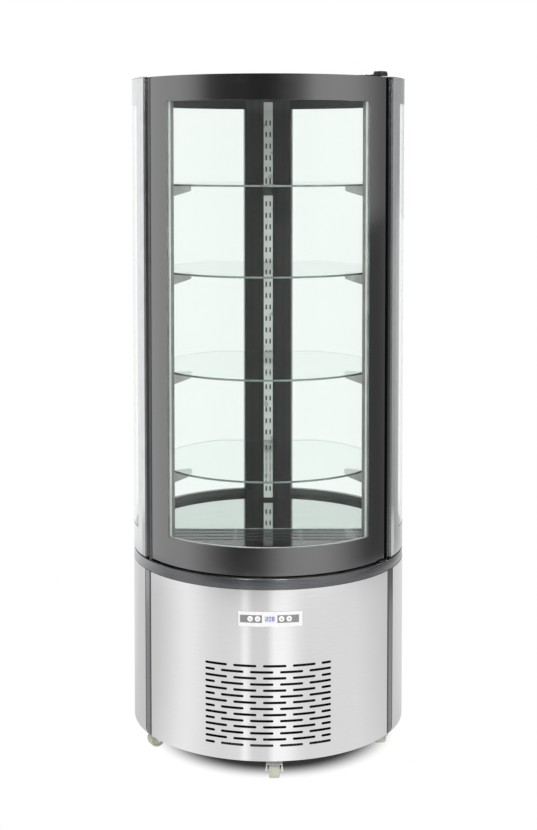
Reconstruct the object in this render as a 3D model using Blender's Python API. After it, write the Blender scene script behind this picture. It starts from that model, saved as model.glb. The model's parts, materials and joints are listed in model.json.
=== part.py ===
"""Round refrigerated cake display case with a curved glass door, on five casters.

The case stands on the plane z = 0 with its origin under the middle of the cabinet, and its door
faces -Y. Angles are in degrees from the front: 0 is the middle of the door and positive angles
run towards +X. Lengths are in metres.
"""

import math

import bmesh
import bpy
from mathutils import Matrix, Vector

# Fits and facets
FIT_GAP = 0.0003
WELD = 0.00001
CUT_OVERRUN = 0.004
ARC_STEP_DEG = 4.5
SHARP_DEG = 32.0
SOFTEN_OVER_DEG = 50.0
NUT_SIDES = 6
AXLE_STEPS = 12
ROUND_STEPS = 16
PIN_STEPS = 24
AIR_HOLE_STEPS = 32

# Overall cabinet
BODY_RADIUS = 0.350
DOOR_HALF_DEG = 59.0
POST_DEG = 60.0

# Casters
WHEEL_RADIUS = 0.020
WHEEL_WIDTH = 0.026
WHEEL_RIM = 0.003
AXLE_RADIUS = 0.003
AXLE_CLEARANCE = 0.0004
FORK_SIDE_GAP = 0.004
FORK_PLATE = 0.003
FORK_TRAIL = 0.014
FORK_HEAD_RADIUS = 0.014
FORK_HEAD_HEIGHT = 0.0115
FORK_HOOD = 0.003
WHEEL_TOP_GAP = 0.003
AXLE_NUT_RADIUS = 0.005
AXLE_NUT_HEIGHT = 0.002
KINGPIN_RADIUS = 0.004
KINGPIN_LENGTH = 0.009
RACE_HEIGHT = 0.0032
CASTER_COUNT = 5
CASTER_INSET = 0.056
CASTER_TURN_DEG = 2.9
CASTER_HEADINGS_DEG = (0.0, 12.0, 150.0, 205.0, -62.0)

# Base plate and skirt
BASE_SHEET = 0.0025
BASE_RIM_HEIGHT = 0.020
SKIRT_DROP = 0.003
SKIRT_HEIGHT = 0.417
SKIRT_SHEET = 0.0015
STRIP_WIDTH = 0.026
STRIP_SHEET = 0.0025
STRIP_GROOVE = 0.003
SKIRT_TURN_DEG = 0.9
POST_WIDTH = 0.040
POST_DEPTH = 0.028
RING_HEIGHT = 0.025
RING_DEPTH = 0.037
RING_INSET = 0.001
RING_CHAMFER = 0.0015
RING_SHEET = 0.005

# Slotted grille in the front skirt panel
GRILLE_WIDTH = 0.314
GRILLE_ROWS = 14
GRILLE_ROW_PITCH = 0.0149
GRILLE_BOTTOM = 0.0385
SLOT_LENGTH = 0.0568
SLOT_BRIDGE = 0.0153
SLOT_HEIGHT = 0.0060
SLOT_END_STEPS = 3

# Vents and cable outlet in the rear skirt panel
VENT_COLUMNS = 2
VENT_ROWS = 6
VENT_ROW_PITCH = 0.022
VENT_LENGTH = 0.090
VENT_BRIDGE = 0.030
VENT_HEIGHT = 0.007
VENT_BOTTOM = 0.180
CABLE_HOLE_RADIUS = 0.008
CABLE_HOLE_DEG = 158.0
CABLE_HOLE_HEIGHT = 0.050

# Control panel in the front skirt panel
PANEL_WIDTH = 0.157
PANEL_HEIGHT = 0.037
PANEL_DROP = 0.0518
PANEL_RECESS = 0.0006
PANEL_THICKNESS = 0.0044
BUTTON_RADIUS = 0.0070
BUTTON_CLEARANCE = 0.0004
BUTTON_LENGTH = 0.0078
BUTTON_SEAT_GAP = 0.0009
BUTTON_FLANGE_RADIUS = 0.0085
BUTTON_PLACES = (-0.0490, -0.0310, 0.0268, 0.0452)
WINDOW_WIDTH = 0.0250
WINDOW_HEIGHT = 0.0155
WINDOW_PLACE = -0.0016
WINDOW_RECESS = 0.0004
WINDOW_THICKNESS = 0.0020

# Door
DOOR_GAP = 0.005
DOOR_HEIGHT = 1.1967
DOOR_INSET = 0.011
DOOR_PANE = 0.005
DOOR_FRAME_DEPTH = 0.0132
DOOR_INNER_PANE = 0.005
DOOR_STILE = 0.0734
DOOR_TOP_RAIL = 0.061
DOOR_BOTTOM_RAIL = 0.0676
DOOR_INNER_MARGIN = 0.010
GASKET_DEPTH = 0.0099
GASKET_WIDTH = 0.012
GASKET_SIDE_MARGIN = 0.014
GASKET_END_MARGIN = 0.009
HINGE_EDGE = 0.014
HINGE_DEPTH = 0.0095
HINGE_PIN_RADIUS = 0.004
HINGE_PIN_CLEARANCE = 0.0004
HINGE_LIFT = 0.0013
HINGE_PLATE = 0.004
HINGE_PLATE_WIDTH = 0.030
HINGE_PLATE_REACH = 0.060
HINGE_CAP_HEIGHT = 0.012
HINGE_CAP_DEPTH = 0.028
HINGE_CAP_BEVEL = 0.002
HINGE_CAP_COVER = 0.002
HINGE_FOOT = 0.003
HINGE_FOOT_DEPTH = 0.031

# Side glass
SIDE_INSET = 0.0005
SIDE_PANE = 0.005
SIDE_FRAME_DEPTH = 0.010
SIDE_INNER_PANE = 0.0042
SIDE_STILE = 0.032
SIDE_REAR_STILE = 0.004
SIDE_TOP_RAIL = 0.062
SIDE_BOTTOM_RAIL = 0.066
SIDE_INNER_MARGIN = 0.008

# Uprights and rear column
UPRIGHT_DOOR_GAP = 0.0048
UPRIGHT_STRIP = 0.031
UPRIGHT_DEPTH = 0.0147
UPRIGHT_LIP = 0.0355
UPRIGHT_PROUD = 0.0045
COLUMN_WIDTH = 0.122
COLUMN_DEPTH = 0.0995
COLUMN_RIDGE = 0.003
COLUMN_WALL = 0.004
COLUMN_RIDGE_PLACES = (0.014, 0.024, 0.040, 0.047)

# Cabinet floor, deck and roof
FLOOR_RISE = 0.0470
TUB_DROP = 0.110
TUB_COLLAR_GAP = 0.012
TUB_WALL = 0.030
TUB_BOTTOM = 0.025
DECK_SHEET = 0.004
DECK_MARGIN = 0.0006
GRATE_SHEET = 0.003
GRATE_DEPTH = 0.2254
GRATE_SLOT_COUNT = 4
GRATE_SLOT_WIDTH = 0.014
GRATE_SLOT_MARGIN = 0.008
GRATE_PITCH = 0.030
GRATE_RIB = 0.006
GRATE_RIB_PLACE = 0.083
ROOF_RISE = 0.0013
ROOF_DEPTH = 0.040
ROOF_CAP = 0.0022
LAMP_LENGTH = 0.260
LAMP_WIDTH = 0.034
LAMP_HEIGHT = 0.010
LAMP_BEVEL = 0.004
LAMP_SETBACK = 0.1547

# Shelves and their brackets
SHELF_HEIGHTS = (0.7213, 0.9692, 1.2186, 1.4385)
SHELF_GLASS = 0.005
SHELF_MARGIN = 0.010
SHELF_STEP_DEG = 6.0
SHELF_REAR_GAP = 0.0025
RAIL_WIDTH = 0.025
RAIL_SHEET = 0.003
RAIL_END_GAP = 0.008
RAIL_SLOT_PITCH = 0.0317
RAIL_SLOT_HEIGHT = 0.014
RAIL_SLOT_WIDTH = 0.004
RAIL_SLOT_SPACING = 0.011
FRONT_RAIL_SLOT_PITCH = 0.0634
FRONT_RAIL_DEG = 57.4
BRACKET_REACH = 0.057
BRACKET_ROOT = 0.027
BRACKET_TIP = 0.013
BRACKET_WIDTH = 0.012
REAR_BRACKET_REACH = 0.068
REAR_BRACKET_ROOT = 0.034
REAR_BRACKET_TIP = 0.010
REAR_BRACKET_WIDTH = 0.030

# Condensing unit in the base
COMPRESSOR_RADIUS = 0.072
COMPRESSOR_HEIGHT = 0.175
COMPRESSOR_DOME = 0.035
COMPRESSOR_SHOULDER = 0.0117
COMPRESSOR_CROWN_RADIUS = 0.024
COMPRESSOR_SEAM = 0.004
COMPRESSOR_FOOT_WIDTH = 0.180
COMPRESSOR_FOOT_DEPTH = 0.126
COMPRESSOR_FOOT_SHEET = 0.012
COMPRESSOR_PLACE = (-0.075, 0.110)
CONDENSER_WIDTH = 0.280
CONDENSER_HEIGHT = 0.210
CONDENSER_DEPTH = 0.045
CONDENSER_SETBACK = 0.0862
CONDENSER_CORE = 0.012
FIN_COUNT = 14
FIN_SHEET = 0.004
SHROUD_SHEET = 0.004
SHROUD_HOLE_RADIUS = 0.094
FAN_RADIUS = 0.088
FAN_HUB_RADIUS = 0.024
FAN_HUB_LENGTH = 0.024
FAN_BLADE_SHEET = 0.0025
FAN_BLADE_CHORD = 0.034
FAN_BLADE_COUNT = 5
FAN_BLADE_PITCH_DEG = 60.0
blade_root_share = 0.8
blade_taper_share = 0.3
FAN_SETBACK = 0.006
MOTOR_RADIUS = 0.034
MOTOR_LENGTH = 0.045
MOTOR_FOOT_WIDTH = 0.040
MOTOR_FOOT_SHEET = 0.006
SHAFT_RADIUS = 0.004
SHAFT_CLEARANCE = 0.0004
TRAY_SIZE = (0.170, 0.110, 0.024)
TRAY_WALL = 0.002
TRAY_PLACE = (0.110, 0.130)

# Evaporator in the insulated tub
EVAPORATOR_WIDTH = 0.300
EVAPORATOR_HEIGHT = 0.115
EVAPORATOR_DEPTH = 0.070
EVAPORATOR_SETBACK = 0.180
EVAPORATOR_CORE = 0.015
EVAPORATOR_HOLE_RADIUS = 0.048
EVAPORATOR_FAN_RADIUS = 0.044
EVAPORATOR_HUB_RADIUS = 0.015
EVAPORATOR_HUB_LENGTH = 0.018
EVAPORATOR_CHORD = 0.022
EVAPORATOR_MOTOR_RADIUS = 0.022
EVAPORATOR_MOTOR_LENGTH = 0.030

# Levels that follow from the sizes above
Z_BASE = 2 * WHEEL_RADIUS + WHEEL_TOP_GAP + FORK_HOOD + FORK_HEAD_HEIGHT + RACE_HEIGHT
Z_SKIRT = Z_BASE - SKIRT_DROP
Z_RING = Z_SKIRT + SKIRT_HEIGHT
Z_RING_TOP = Z_RING + RING_HEIGHT
Z_SEAT = Z_RING_TOP + FIT_GAP
Z_DOOR = Z_RING_TOP + DOOR_GAP
Z_DOOR_TOP = Z_DOOR + DOOR_HEIGHT
Z_FLOOR = Z_RING_TOP + FLOOR_RISE
Z_DECK = Z_FLOOR + FIT_GAP + DECK_SHEET
Z_ROOF = Z_DOOR_TOP + ROOF_RISE
Z_CEILING = Z_ROOF - ROOF_DEPTH
Z_CAP = Z_ROOF - ROOF_CAP
Z_UNDER_CAP = Z_CAP - FIT_GAP

# Radii that follow from the sizes above, from the outside in
R_SKIRT_IN = BODY_RADIUS - SKIRT_SHEET
R_RIM = R_SKIRT_IN - FIT_GAP
R_SIDE = BODY_RADIUS - SIDE_INSET
R_SIDE_FRAME = R_SIDE - SIDE_PANE - FIT_GAP
R_SIDE_INNER = R_SIDE_FRAME - SIDE_FRAME_DEPTH - FIT_GAP
R_CABIN = R_SIDE_INNER - SIDE_INNER_PANE - FIT_GAP
R_DOOR = BODY_RADIUS - DOOR_INSET
R_DOOR_FRAME = R_DOOR - DOOR_PANE - FIT_GAP
R_DOOR_INNER = R_DOOR_FRAME - DOOR_FRAME_DEPTH - FIT_GAP
R_GASKET = R_DOOR_INNER - DOOR_INNER_PANE - FIT_GAP
R_FACE = R_GASKET - GASKET_DEPTH - FIT_GAP
R_UPRIGHT_IN = R_FACE - UPRIGHT_DEPTH
R_UPRIGHT_OUT = R_DOOR + UPRIGHT_PROUD
R_SHELF = R_UPRIGHT_IN - SHELF_MARGIN
R_HINGE = R_DOOR - HINGE_DEPTH
R_RING = BODY_RADIUS - RING_INSET
R_RING_IN = R_RING - RING_DEPTH
R_TUB = R_RING_IN - TUB_COLLAR_GAP
R_TUB_IN = R_TUB - TUB_WALL
R_DECK = R_UPRIGHT_IN - DECK_MARGIN
R_DECK_BACK = R_CABIN - DECK_MARGIN

# Depths from the middle that follow from the sizes above
DECK_FRONT = R_DECK - GRATE_DEPTH
COLUMN_FRONT = R_SIDE - COLUMN_DEPTH
LAMP_FRONT = R_FACE - LAMP_SETBACK
CONDENSER_FRONT = R_RIM - CONDENSER_SETBACK
EVAPORATOR_FRONT = R_TUB_IN - EVAPORATOR_SETBACK


def degrees_of(length, radius):
    """Angle in degrees that an arc length takes up on a radius."""
    return math.degrees(length / radius)


# Angles that follow from the sizes above
UPRIGHT_DEG = DOOR_HALF_DEG + degrees_of(UPRIGHT_DOOR_GAP, R_DOOR)
UPRIGHT_END_DEG = UPRIGHT_DEG + degrees_of(UPRIGHT_STRIP, R_UPRIGHT_OUT)
UPRIGHT_LIP_DEG = DOOR_HALF_DEG - degrees_of(UPRIGHT_LIP, R_FACE) + degrees_of(DOOR_INSET, R_FACE)
SIDE_DEG = UPRIGHT_END_DEG + degrees_of(FIT_GAP, R_CABIN)
COLUMN_HALF_DEG = math.degrees(math.asin(COLUMN_WIDTH / 2 / R_CABIN))
SIDE_END_DEG = 180.0 - COLUMN_HALF_DEG - degrees_of(FIT_GAP, R_CABIN)
HINGE_DEG = DOOR_HALF_DEG - degrees_of(HINGE_EDGE, R_HINGE)
STRIP_HALF_DEG = degrees_of(STRIP_WIDTH / 2, BODY_RADIUS)
SKIRT_EDGE_DEG = degrees_of(STRIP_WIDTH / 2 + STRIP_GROOVE, BODY_RADIUS)
PANEL_HALF_DEG = degrees_of(PANEL_WIDTH / 2, BODY_RADIUS)


def polar(radius, degrees, z=0.0):
    """Point at a radius and an angle from the front of the cabinet."""
    angle = math.radians(degrees)
    return Vector((radius * math.sin(angle), -radius * math.cos(angle), z))


def arc_degrees(start, end, step=ARC_STEP_DEG):
    """Both ends of an arc and every multiple of the step that lies clear between them."""
    first = math.floor(start / step) + 1
    last = math.ceil(end / step) - 1
    margin = step / 8
    between = [k * step for k in range(first, last + 1)]
    return [start, *(a for a in between if a - start > margin and end - a > margin), end]


def arc_points(radius, start, end, step=ARC_STEP_DEG):
    """Points of an arc in plan, as (x, y)."""
    return [polar(radius, a).xy for a in arc_degrees(start, end, step)]


def clear_scene():
    """Remove whatever objects the file opened with."""
    for item in list(bpy.data.objects):
        bpy.data.objects.remove(item, do_unlink=True)


def make_material(name, colour, roughness, metallic=0.0, alpha=1.0):
    """Principled material from a linear colour."""
    material = bpy.data.materials.new(name)
    material.use_nodes = True
    shader = material.node_tree.nodes["Principled BSDF"]
    shader.inputs["Base Color"].default_value = (*colour, 1.0)
    shader.inputs["Roughness"].default_value = roughness
    shader.inputs["Metallic"].default_value = metallic
    shader.inputs["Alpha"].default_value = alpha
    material.diffuse_color = (*colour, alpha)
    return material


def make_empty(name, location, parent=None):
    """Empty that carries the pieces of a moving body on its joint axis."""
    empty = bpy.data.objects.new(name, None)
    empty.location = location
    empty.parent = parent
    bpy.context.collection.objects.link(empty)
    return empty


def make_object(name, shape, material=None, location=(0, 0, 0), turn_deg=0.0, parent=None):
    """Turn a bmesh into a smooth-shaded object and free the bmesh."""
    bmesh.ops.recalc_face_normals(shape, faces=shape.faces)
    mesh = bpy.data.meshes.new(name)
    shape.to_mesh(mesh)
    shape.free()
    mesh.shade_smooth()
    mesh.set_sharp_from_angle(angle=math.radians(SHARP_DEG))
    item = bpy.data.objects.new(name, mesh)
    item.location = location
    item.rotation_euler = (0, 0, math.radians(turn_deg))
    item.parent = parent
    if material:
        mesh.materials.append(material)
    bpy.context.collection.objects.link(item)
    return item


def boolean(item, shape, operation):
    """Cut a shape from an object or join it on, with a hidden tool that follows the object."""
    count = len(item.modifiers) + 1
    tool = make_object(f"{item.name}_tool_{count}", shape, parent=item)
    tool.hide_render = True
    tool.display_type = "WIRE"
    modifier = item.modifiers.new(f"{operation.lower()}_{count}", "BOOLEAN")
    modifier.operation = operation
    modifier.solver = "EXACT"
    modifier.object = tool
    return item


def cut(item, shape):
    """Cut a shape out of an object."""
    return boolean(item, shape, "DIFFERENCE")


def fuse(item, shape):
    """Join a shape that overlaps an object to it."""
    return boolean(item, shape, "UNION")


def soften(item, width, angle_deg=SOFTEN_OVER_DEG):
    """Bevel an object's sharp edges by one facet."""
    modifier = item.modifiers.new("soften", "BEVEL")
    modifier.width = width
    modifier.segments = 1
    modifier.limit_method = "ANGLE"
    modifier.angle_limit = math.radians(angle_deg)
    return item


def merged(shapes):
    """One bmesh that holds several, which are freed."""
    whole = bmesh.new()
    for shape in shapes:
        mesh = bpy.data.meshes.new("part_of_tool")
        bmesh.ops.recalc_face_normals(shape, faces=shape.faces)
        shape.to_mesh(mesh)
        shape.free()
        whole.from_mesh(mesh)
        bpy.data.meshes.remove(mesh)
    return whole


def prism(outline, low, high):
    """Upright prism over a plan outline of (x, y) points."""
    shape = bmesh.new()
    foot = [shape.verts.new((x, y, low)) for x, y in outline]
    lid = bmesh.ops.extrude_face_region(shape, geom=[shape.faces.new(foot)])["geom"]
    raised = [part for part in lid if isinstance(part, bmesh.types.BMVert)]
    bmesh.ops.translate(shape, verts=raised, vec=(0, 0, high - low))
    return shape


def side_prism(outline, width):
    """Prism over a side outline of (y, z) points, centred on the plane x = 0."""
    shape = bmesh.new()
    foot = [shape.verts.new((-width / 2, y, z)) for y, z in outline]
    lid = bmesh.ops.extrude_face_region(shape, geom=[shape.faces.new(foot)])["geom"]
    raised = [part for part in lid if isinstance(part, bmesh.types.BMVert)]
    bmesh.ops.translate(shape, verts=raised, vec=(width, 0, 0))
    return shape


def box(low, high):
    """Box between two corners."""
    size = Vector(high) - Vector(low)
    middle = (Vector(high) + Vector(low)) / 2
    spread = Matrix.Translation(middle) @ Matrix.Diagonal((*size, 1))
    shape = bmesh.new()
    bmesh.ops.create_cube(shape, size=1, matrix=spread)
    return shape


def rod(radius, start, end, steps=PIN_STEPS):
    """Cylinder between two points."""
    start, end = Vector(start), Vector(end)
    run = end - start
    turn = run.to_track_quat("Z", "Y").to_matrix().to_4x4()
    shape = bmesh.new()
    bmesh.ops.create_cone(
        shape, cap_ends=True, segments=steps, radius1=radius, radius2=radius, depth=run.length,
        matrix=Matrix.Translation((start + end) / 2) @ turn,
    )
    return shape


def revolve(profile, steps, closed=False):
    """Turn a profile of (radius, z) points about the Z axis."""
    shape = bmesh.new()
    points = [shape.verts.new((0, -radius, z)) for radius, z in profile]
    ends = zip(points, points[1:] + points[:1]) if closed else zip(points, points[1:])
    edges = [shape.edges.new(pair) for pair in ends]
    bmesh.ops.spin(
        shape, geom=points + edges, cent=(0, 0, 0), axis=(0, 0, 1), angle=math.tau, steps=steps,
        use_merge=True,
    )
    bmesh.ops.remove_doubles(shape, verts=shape.verts, dist=WELD)
    return shape


def curved_panel(inner, outer, degrees, levels, is_solid=None):
    """Closed curved panel on a lattice of angles and levels, whose cells may be left open."""
    across, up = len(degrees) - 1, len(levels) - 1
    shape = bmesh.new()
    corners = {}

    def solid(i, j):
        inside = 0 <= i < across and 0 <= j < up
        return inside and (is_solid is None or is_solid(i, j))

    def corner(i, j, side):
        key = (i, j, side)
        if key not in corners:
            radius = outer if side else inner
            corners[key] = shape.verts.new(polar(radius, degrees[i], levels[j]))
        return corners[key]

    for i in range(across):
        for j in range(up):
            if not solid(i, j):
                continue
            ring = [(i, j), (i + 1, j), (i + 1, j + 1), (i, j + 1)]
            neighbours = [(i, j - 1), (i + 1, j), (i, j + 1), (i - 1, j)]
            for side in (0, 1):
                shape.faces.new([corner(a, b, side) for a, b in ring])
            for (a, b), (c, d), beyond in zip(ring, ring[1:] + ring[:1], neighbours):
                if not solid(*beyond):
                    wall = ((a, b, 0), (c, d, 0), (c, d, 1), (a, b, 1))
                    shape.faces.new([corner(*key) for key in wall])
    return shape


def window_panel(inner, outer, degrees, levels, opening_degrees, opening_levels):
    """Curved panel with one rectangular opening, given by its angles and its levels."""
    left, right = opening_degrees
    low, high = opening_levels
    columns = (
        arc_degrees(degrees[0], left) + arc_degrees(left, right)[1:] + arc_degrees(right, degrees[1])[1:]
    )
    rows = [levels[0], low, high, levels[1]]

    def outside(i, j):
        return not (left <= columns[i] < right and low <= rows[j] < high)

    return curved_panel(inner, outer, columns, rows, outside)


def slot_shape(length, height, inner, outer, degrees, z):
    """Round-ended slot cutter that runs radially through a curved wall."""
    reach = length / 2 - height / 2
    outline = []
    for side in (1, -1):
        for k in range(SLOT_END_STEPS + 1):
            angle = math.pi * k / SLOT_END_STEPS - math.pi / 2
            along = reach + height / 2 * math.cos(angle)
            outline.append((side * along, side * height / 2 * math.sin(angle)))
    shape = bmesh.new()
    foot = [shape.verts.new((x, -outer - CUT_OVERRUN, z + rise)) for x, rise in outline]
    lid = bmesh.ops.extrude_face_region(shape, geom=[shape.faces.new(foot)])["geom"]
    raised = [part for part in lid if isinstance(part, bmesh.types.BMVert)]
    bmesh.ops.translate(shape, verts=raised, vec=(0, outer - inner + 2 * CUT_OVERRUN, 0))
    turn = Matrix.Rotation(math.radians(degrees), 3, "Z")
    bmesh.ops.rotate(shape, verts=shape.verts, cent=(0, 0, 0), matrix=turn)
    return shape


def make_materials():
    """Finishes of the case, by name."""
    return {
        "stainless": make_material("stainless", (0.62, 0.62, 0.63), 0.30, 1.0),
        "ring_steel": make_material("ring_steel", (0.16, 0.16, 0.17), 0.35, 1.0),
        "black_coat": make_material("black_coat", (0.012, 0.012, 0.013), 0.30),
        "black_panel": make_material("black_panel", (0.012, 0.012, 0.013), 0.15),
        "glass": make_material("glass", (0.80, 0.88, 0.86), 0.03, 0.0, 0.25),
        "frame_black": make_material("frame_black", (0.010, 0.010, 0.011), 0.18),
        "frame_silver": make_material("frame_silver", (0.42, 0.43, 0.43), 0.35, 0.6),
        "rubber": make_material("rubber", (0.020, 0.020, 0.022), 0.75),
        "zinc": make_material("zinc", (0.70, 0.70, 0.70), 0.28, 1.0),
        "nylon": make_material("nylon", (0.72, 0.71, 0.60), 0.45),
        "liner": make_material("liner", (0.20, 0.21, 0.21), 0.40),
        "deck": make_material("deck", (0.50, 0.50, 0.50), 0.20, 1.0),
        "panel": make_material("panel", (0.62, 0.62, 0.62), 0.40),
        "button": make_material("button", (0.85, 0.85, 0.85), 0.35),
        "display": make_material("display", (0.02, 0.02, 0.05), 0.10),
        "lamp": make_material("lamp", (0.90, 0.90, 0.88), 0.50),
        "coil": make_material("coil", (0.60, 0.61, 0.62), 0.40, 1.0),
        "compressor": make_material("compressor", (0.015, 0.015, 0.015), 0.45),
        "fan": make_material("fan", (0.030, 0.030, 0.032), 0.50),
    }


def make_base_plate(finish):
    """Round base plate with a folded rim, and under it a race and a kingpin for each caster."""
    rim_in = R_RIM - BASE_SHEET
    profile = [
        (0, Z_BASE), (R_RIM, Z_BASE), (R_RIM, Z_BASE + BASE_RIM_HEIGHT), (rim_in, Z_BASE + BASE_RIM_HEIGHT),
        (rim_in, Z_BASE + BASE_SHEET), (0, Z_BASE + BASE_SHEET),
    ]
    plate = make_object("base_plate", revolve(profile, round(180 / ARC_STEP_DEG)), finish["stainless"])
    race = Z_BASE - RACE_HEIGHT
    overlap = BASE_SHEET / 2
    for place, _ in caster_places():
        stack = [
            (0, race - KINGPIN_LENGTH), (KINGPIN_RADIUS, race - KINGPIN_LENGTH), (KINGPIN_RADIUS, race),
            (FORK_HEAD_RADIUS, race), (FORK_HEAD_RADIUS, Z_BASE + overlap), (0, Z_BASE + overlap),
        ]
        seat = revolve(stack, ROUND_STEPS)
        bmesh.ops.translate(seat, verts=seat.verts, vec=place)
        fuse(plate, seat)
    return plate


def caster_places():
    """Swivel axis and heading in degrees of each caster."""
    radius = BODY_RADIUS - CASTER_INSET
    step = 360.0 / CASTER_COUNT
    headings = [CASTER_HEADINGS_DEG[k % len(CASTER_HEADINGS_DEG)] for k in range(CASTER_COUNT)]
    return [(polar(radius, CASTER_TURN_DEG + step * k), heading) for k, heading in enumerate(headings)]


def make_caster(number, place, heading, finish):
    """Swivel fork with its axle, and the wheel that runs on it."""
    swivel = make_empty(f"caster_axis_{number}", place)
    swivel.rotation_euler = (0, 0, math.radians(heading))
    inner = WHEEL_WIDTH / 2 + FORK_SIDE_GAP
    outer = inner + FORK_PLATE
    hood_low = 2 * WHEEL_RADIUS + WHEEL_TOP_GAP
    hood_high = hood_low + FORK_HOOD
    front = -FORK_TRAIL - AXLE_NUT_RADIUS
    foot = WHEEL_RADIUS - AXLE_NUT_RADIUS
    head_back = FORK_HEAD_RADIUS
    cheek = [
        (front, foot), (front + 2 * AXLE_NUT_RADIUS, foot), (head_back, hood_low - WHEEL_TOP_GAP),
        (head_back, hood_high), (front, hood_high),
        (front - AXLE_NUT_RADIUS, WHEEL_RADIUS + AXLE_NUT_RADIUS),
    ]
    fork = make_object(
        f"caster_fork_{number}", box((-outer, front, hood_low), (outer, head_back, hood_high)),
        finish["zinc"], parent=swivel,
    )
    for side in (-1, 1):
        plate = side_prism(cheek, FORK_PLATE)
        bmesh.ops.translate(plate, verts=plate.verts, vec=(side * (inner + outer) / 2, 0, 0))
        fuse(fork, plate)
    bore = KINGPIN_RADIUS + AXLE_CLEARANCE
    top = hood_high + FORK_HEAD_HEIGHT - FIT_GAP
    floor = top - KINGPIN_LENGTH - AXLE_CLEARANCE
    join = hood_high - FORK_HOOD / 2
    head = [
        (0, join), (FORK_HEAD_RADIUS, join), (FORK_HEAD_RADIUS, top), (bore, top), (bore, floor), (0, floor)
    ]
    fuse(fork, revolve(head, ROUND_STEPS))
    reach = outer + AXLE_NUT_HEIGHT
    ends = [(side * reach, -FORK_TRAIL, WHEEL_RADIUS) for side in (-1, 1)]
    fuse(fork, rod(AXLE_RADIUS, *ends, AXLE_STEPS))
    for side in (-1, 1):
        nut = rod(
            AXLE_NUT_RADIUS, (side * (outer - FORK_PLATE / 2), -FORK_TRAIL, WHEEL_RADIUS),
            (side * reach, -FORK_TRAIL, WHEEL_RADIUS), NUT_SIDES,
        )
        fuse(fork, nut)
    hub = AXLE_RADIUS + AXLE_CLEARANCE
    half = WHEEL_WIDTH / 2
    tyre = [
        (hub, -half), (WHEEL_RADIUS - WHEEL_RIM, -half), (WHEEL_RADIUS, -half + WHEEL_RIM),
        (WHEEL_RADIUS, half - WHEEL_RIM), (WHEEL_RADIUS - WHEEL_RIM, half), (hub, half),
    ]
    wheel = revolve(tyre, ROUND_STEPS, closed=True)
    bmesh.ops.rotate(wheel, verts=wheel.verts, cent=(0, 0, 0), matrix=Matrix.Rotation(math.pi / 2, 3, "Y"))
    axle = (0, -FORK_TRAIL, WHEEL_RADIUS)
    make_object(f"caster_wheel_{number}", wheel, finish["nylon"], location=axle, parent=swivel)


def grille_slots():
    """Place along the arc and length of each slot, row by row: the short slots change sides."""
    pitch = SLOT_LENGTH + SLOT_BRIDGE
    per_row = math.ceil(GRILLE_WIDTH / pitch)
    slots = []
    for row in range(GRILLE_ROWS):
        z = Z_SKIRT + GRILLE_BOTTOM + GRILLE_ROW_PITCH * (GRILLE_ROWS - 1 - row)
        hand = 1 if row % 2 == 0 else -1
        for k in range(per_row):
            start = k * pitch - GRILLE_WIDTH / 2
            end = min(start + SLOT_LENGTH, GRILLE_WIDTH / 2)
            if end - start > 2 * SLOT_HEIGHT:
                slots.append((hand * (start + end) / 2, end - start, z))
    return slots


def make_skirt(finish):
    """Front skirt panel with the slotted grille, and the rear panel with vents and a cable outlet."""
    edge = POST_DEG - SKIRT_EDGE_DEG
    top = Z_RING - FIT_GAP
    panel_top = Z_RING - PANEL_DROP
    opening = (SKIRT_TURN_DEG - PANEL_HALF_DEG, SKIRT_TURN_DEG + PANEL_HALF_DEG)
    front = make_object(
        "skirt_front",
        window_panel(
            R_SKIRT_IN, BODY_RADIUS, (SKIRT_TURN_DEG - edge, SKIRT_TURN_DEG + edge), (Z_SKIRT, top), opening,
            (panel_top - PANEL_HEIGHT, panel_top),
        ),
        finish["stainless"],
    )
    cut(front, merged([
        slot_shape(length, SLOT_HEIGHT, R_SKIRT_IN, BODY_RADIUS, degrees_of(place, BODY_RADIUS), z)
        for place, length, z in grille_slots()
    ]))
    half = POST_DEG + SKIRT_EDGE_DEG
    degrees = arc_degrees(SKIRT_TURN_DEG + half, SKIRT_TURN_DEG + 360.0 - half)
    wrap = curved_panel(R_SKIRT_IN, BODY_RADIUS, degrees, (Z_SKIRT, top))
    rear = make_object("skirt_rear", wrap, finish["stainless"])
    pitch = VENT_LENGTH + VENT_BRIDGE
    vents = []
    for column in range(VENT_COLUMNS):
        place = (column - (VENT_COLUMNS - 1) / 2) * pitch
        degrees = 180.0 + degrees_of(place, BODY_RADIUS)
        for row in range(VENT_ROWS):
            z = Z_SKIRT + VENT_BOTTOM + row * VENT_ROW_PITCH
            vents.append(slot_shape(VENT_LENGTH, VENT_HEIGHT, R_SKIRT_IN, BODY_RADIUS, degrees, z))
    cut(rear, merged(vents))
    height = Z_SKIRT + CABLE_HOLE_HEIGHT
    cut(rear, rod(
        CABLE_HOLE_RADIUS, polar(R_SKIRT_IN - CUT_OVERRUN, CABLE_HOLE_DEG, height),
        polar(BODY_RADIUS + CUT_OVERRUN, CABLE_HOLE_DEG, height), ROUND_STEPS,
    ))


def make_base_post(name, side, finish):
    """Post between the skirt panels: a bright strip outside and a folded channel behind it."""
    top = Z_RING - FIT_GAP
    low = Z_BASE + BASE_RIM_HEIGHT + FIT_GAP
    middle = SKIRT_TURN_DEG + side * POST_DEG
    half = degrees_of(POST_WIDTH / 2, BODY_RADIUS)
    strip = curved_panel(
        BODY_RADIUS - STRIP_SHEET, BODY_RADIUS, arc_degrees(middle - STRIP_HALF_DEG, middle + STRIP_HALF_DEG),
        (low, top),
    )
    post = make_object(name, strip, finish["ring_steel"])
    fuse(post, curved_panel(R_RIM - POST_DEPTH, R_RIM, arc_degrees(middle - half, middle + half), (low, top)))
    return post


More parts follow.
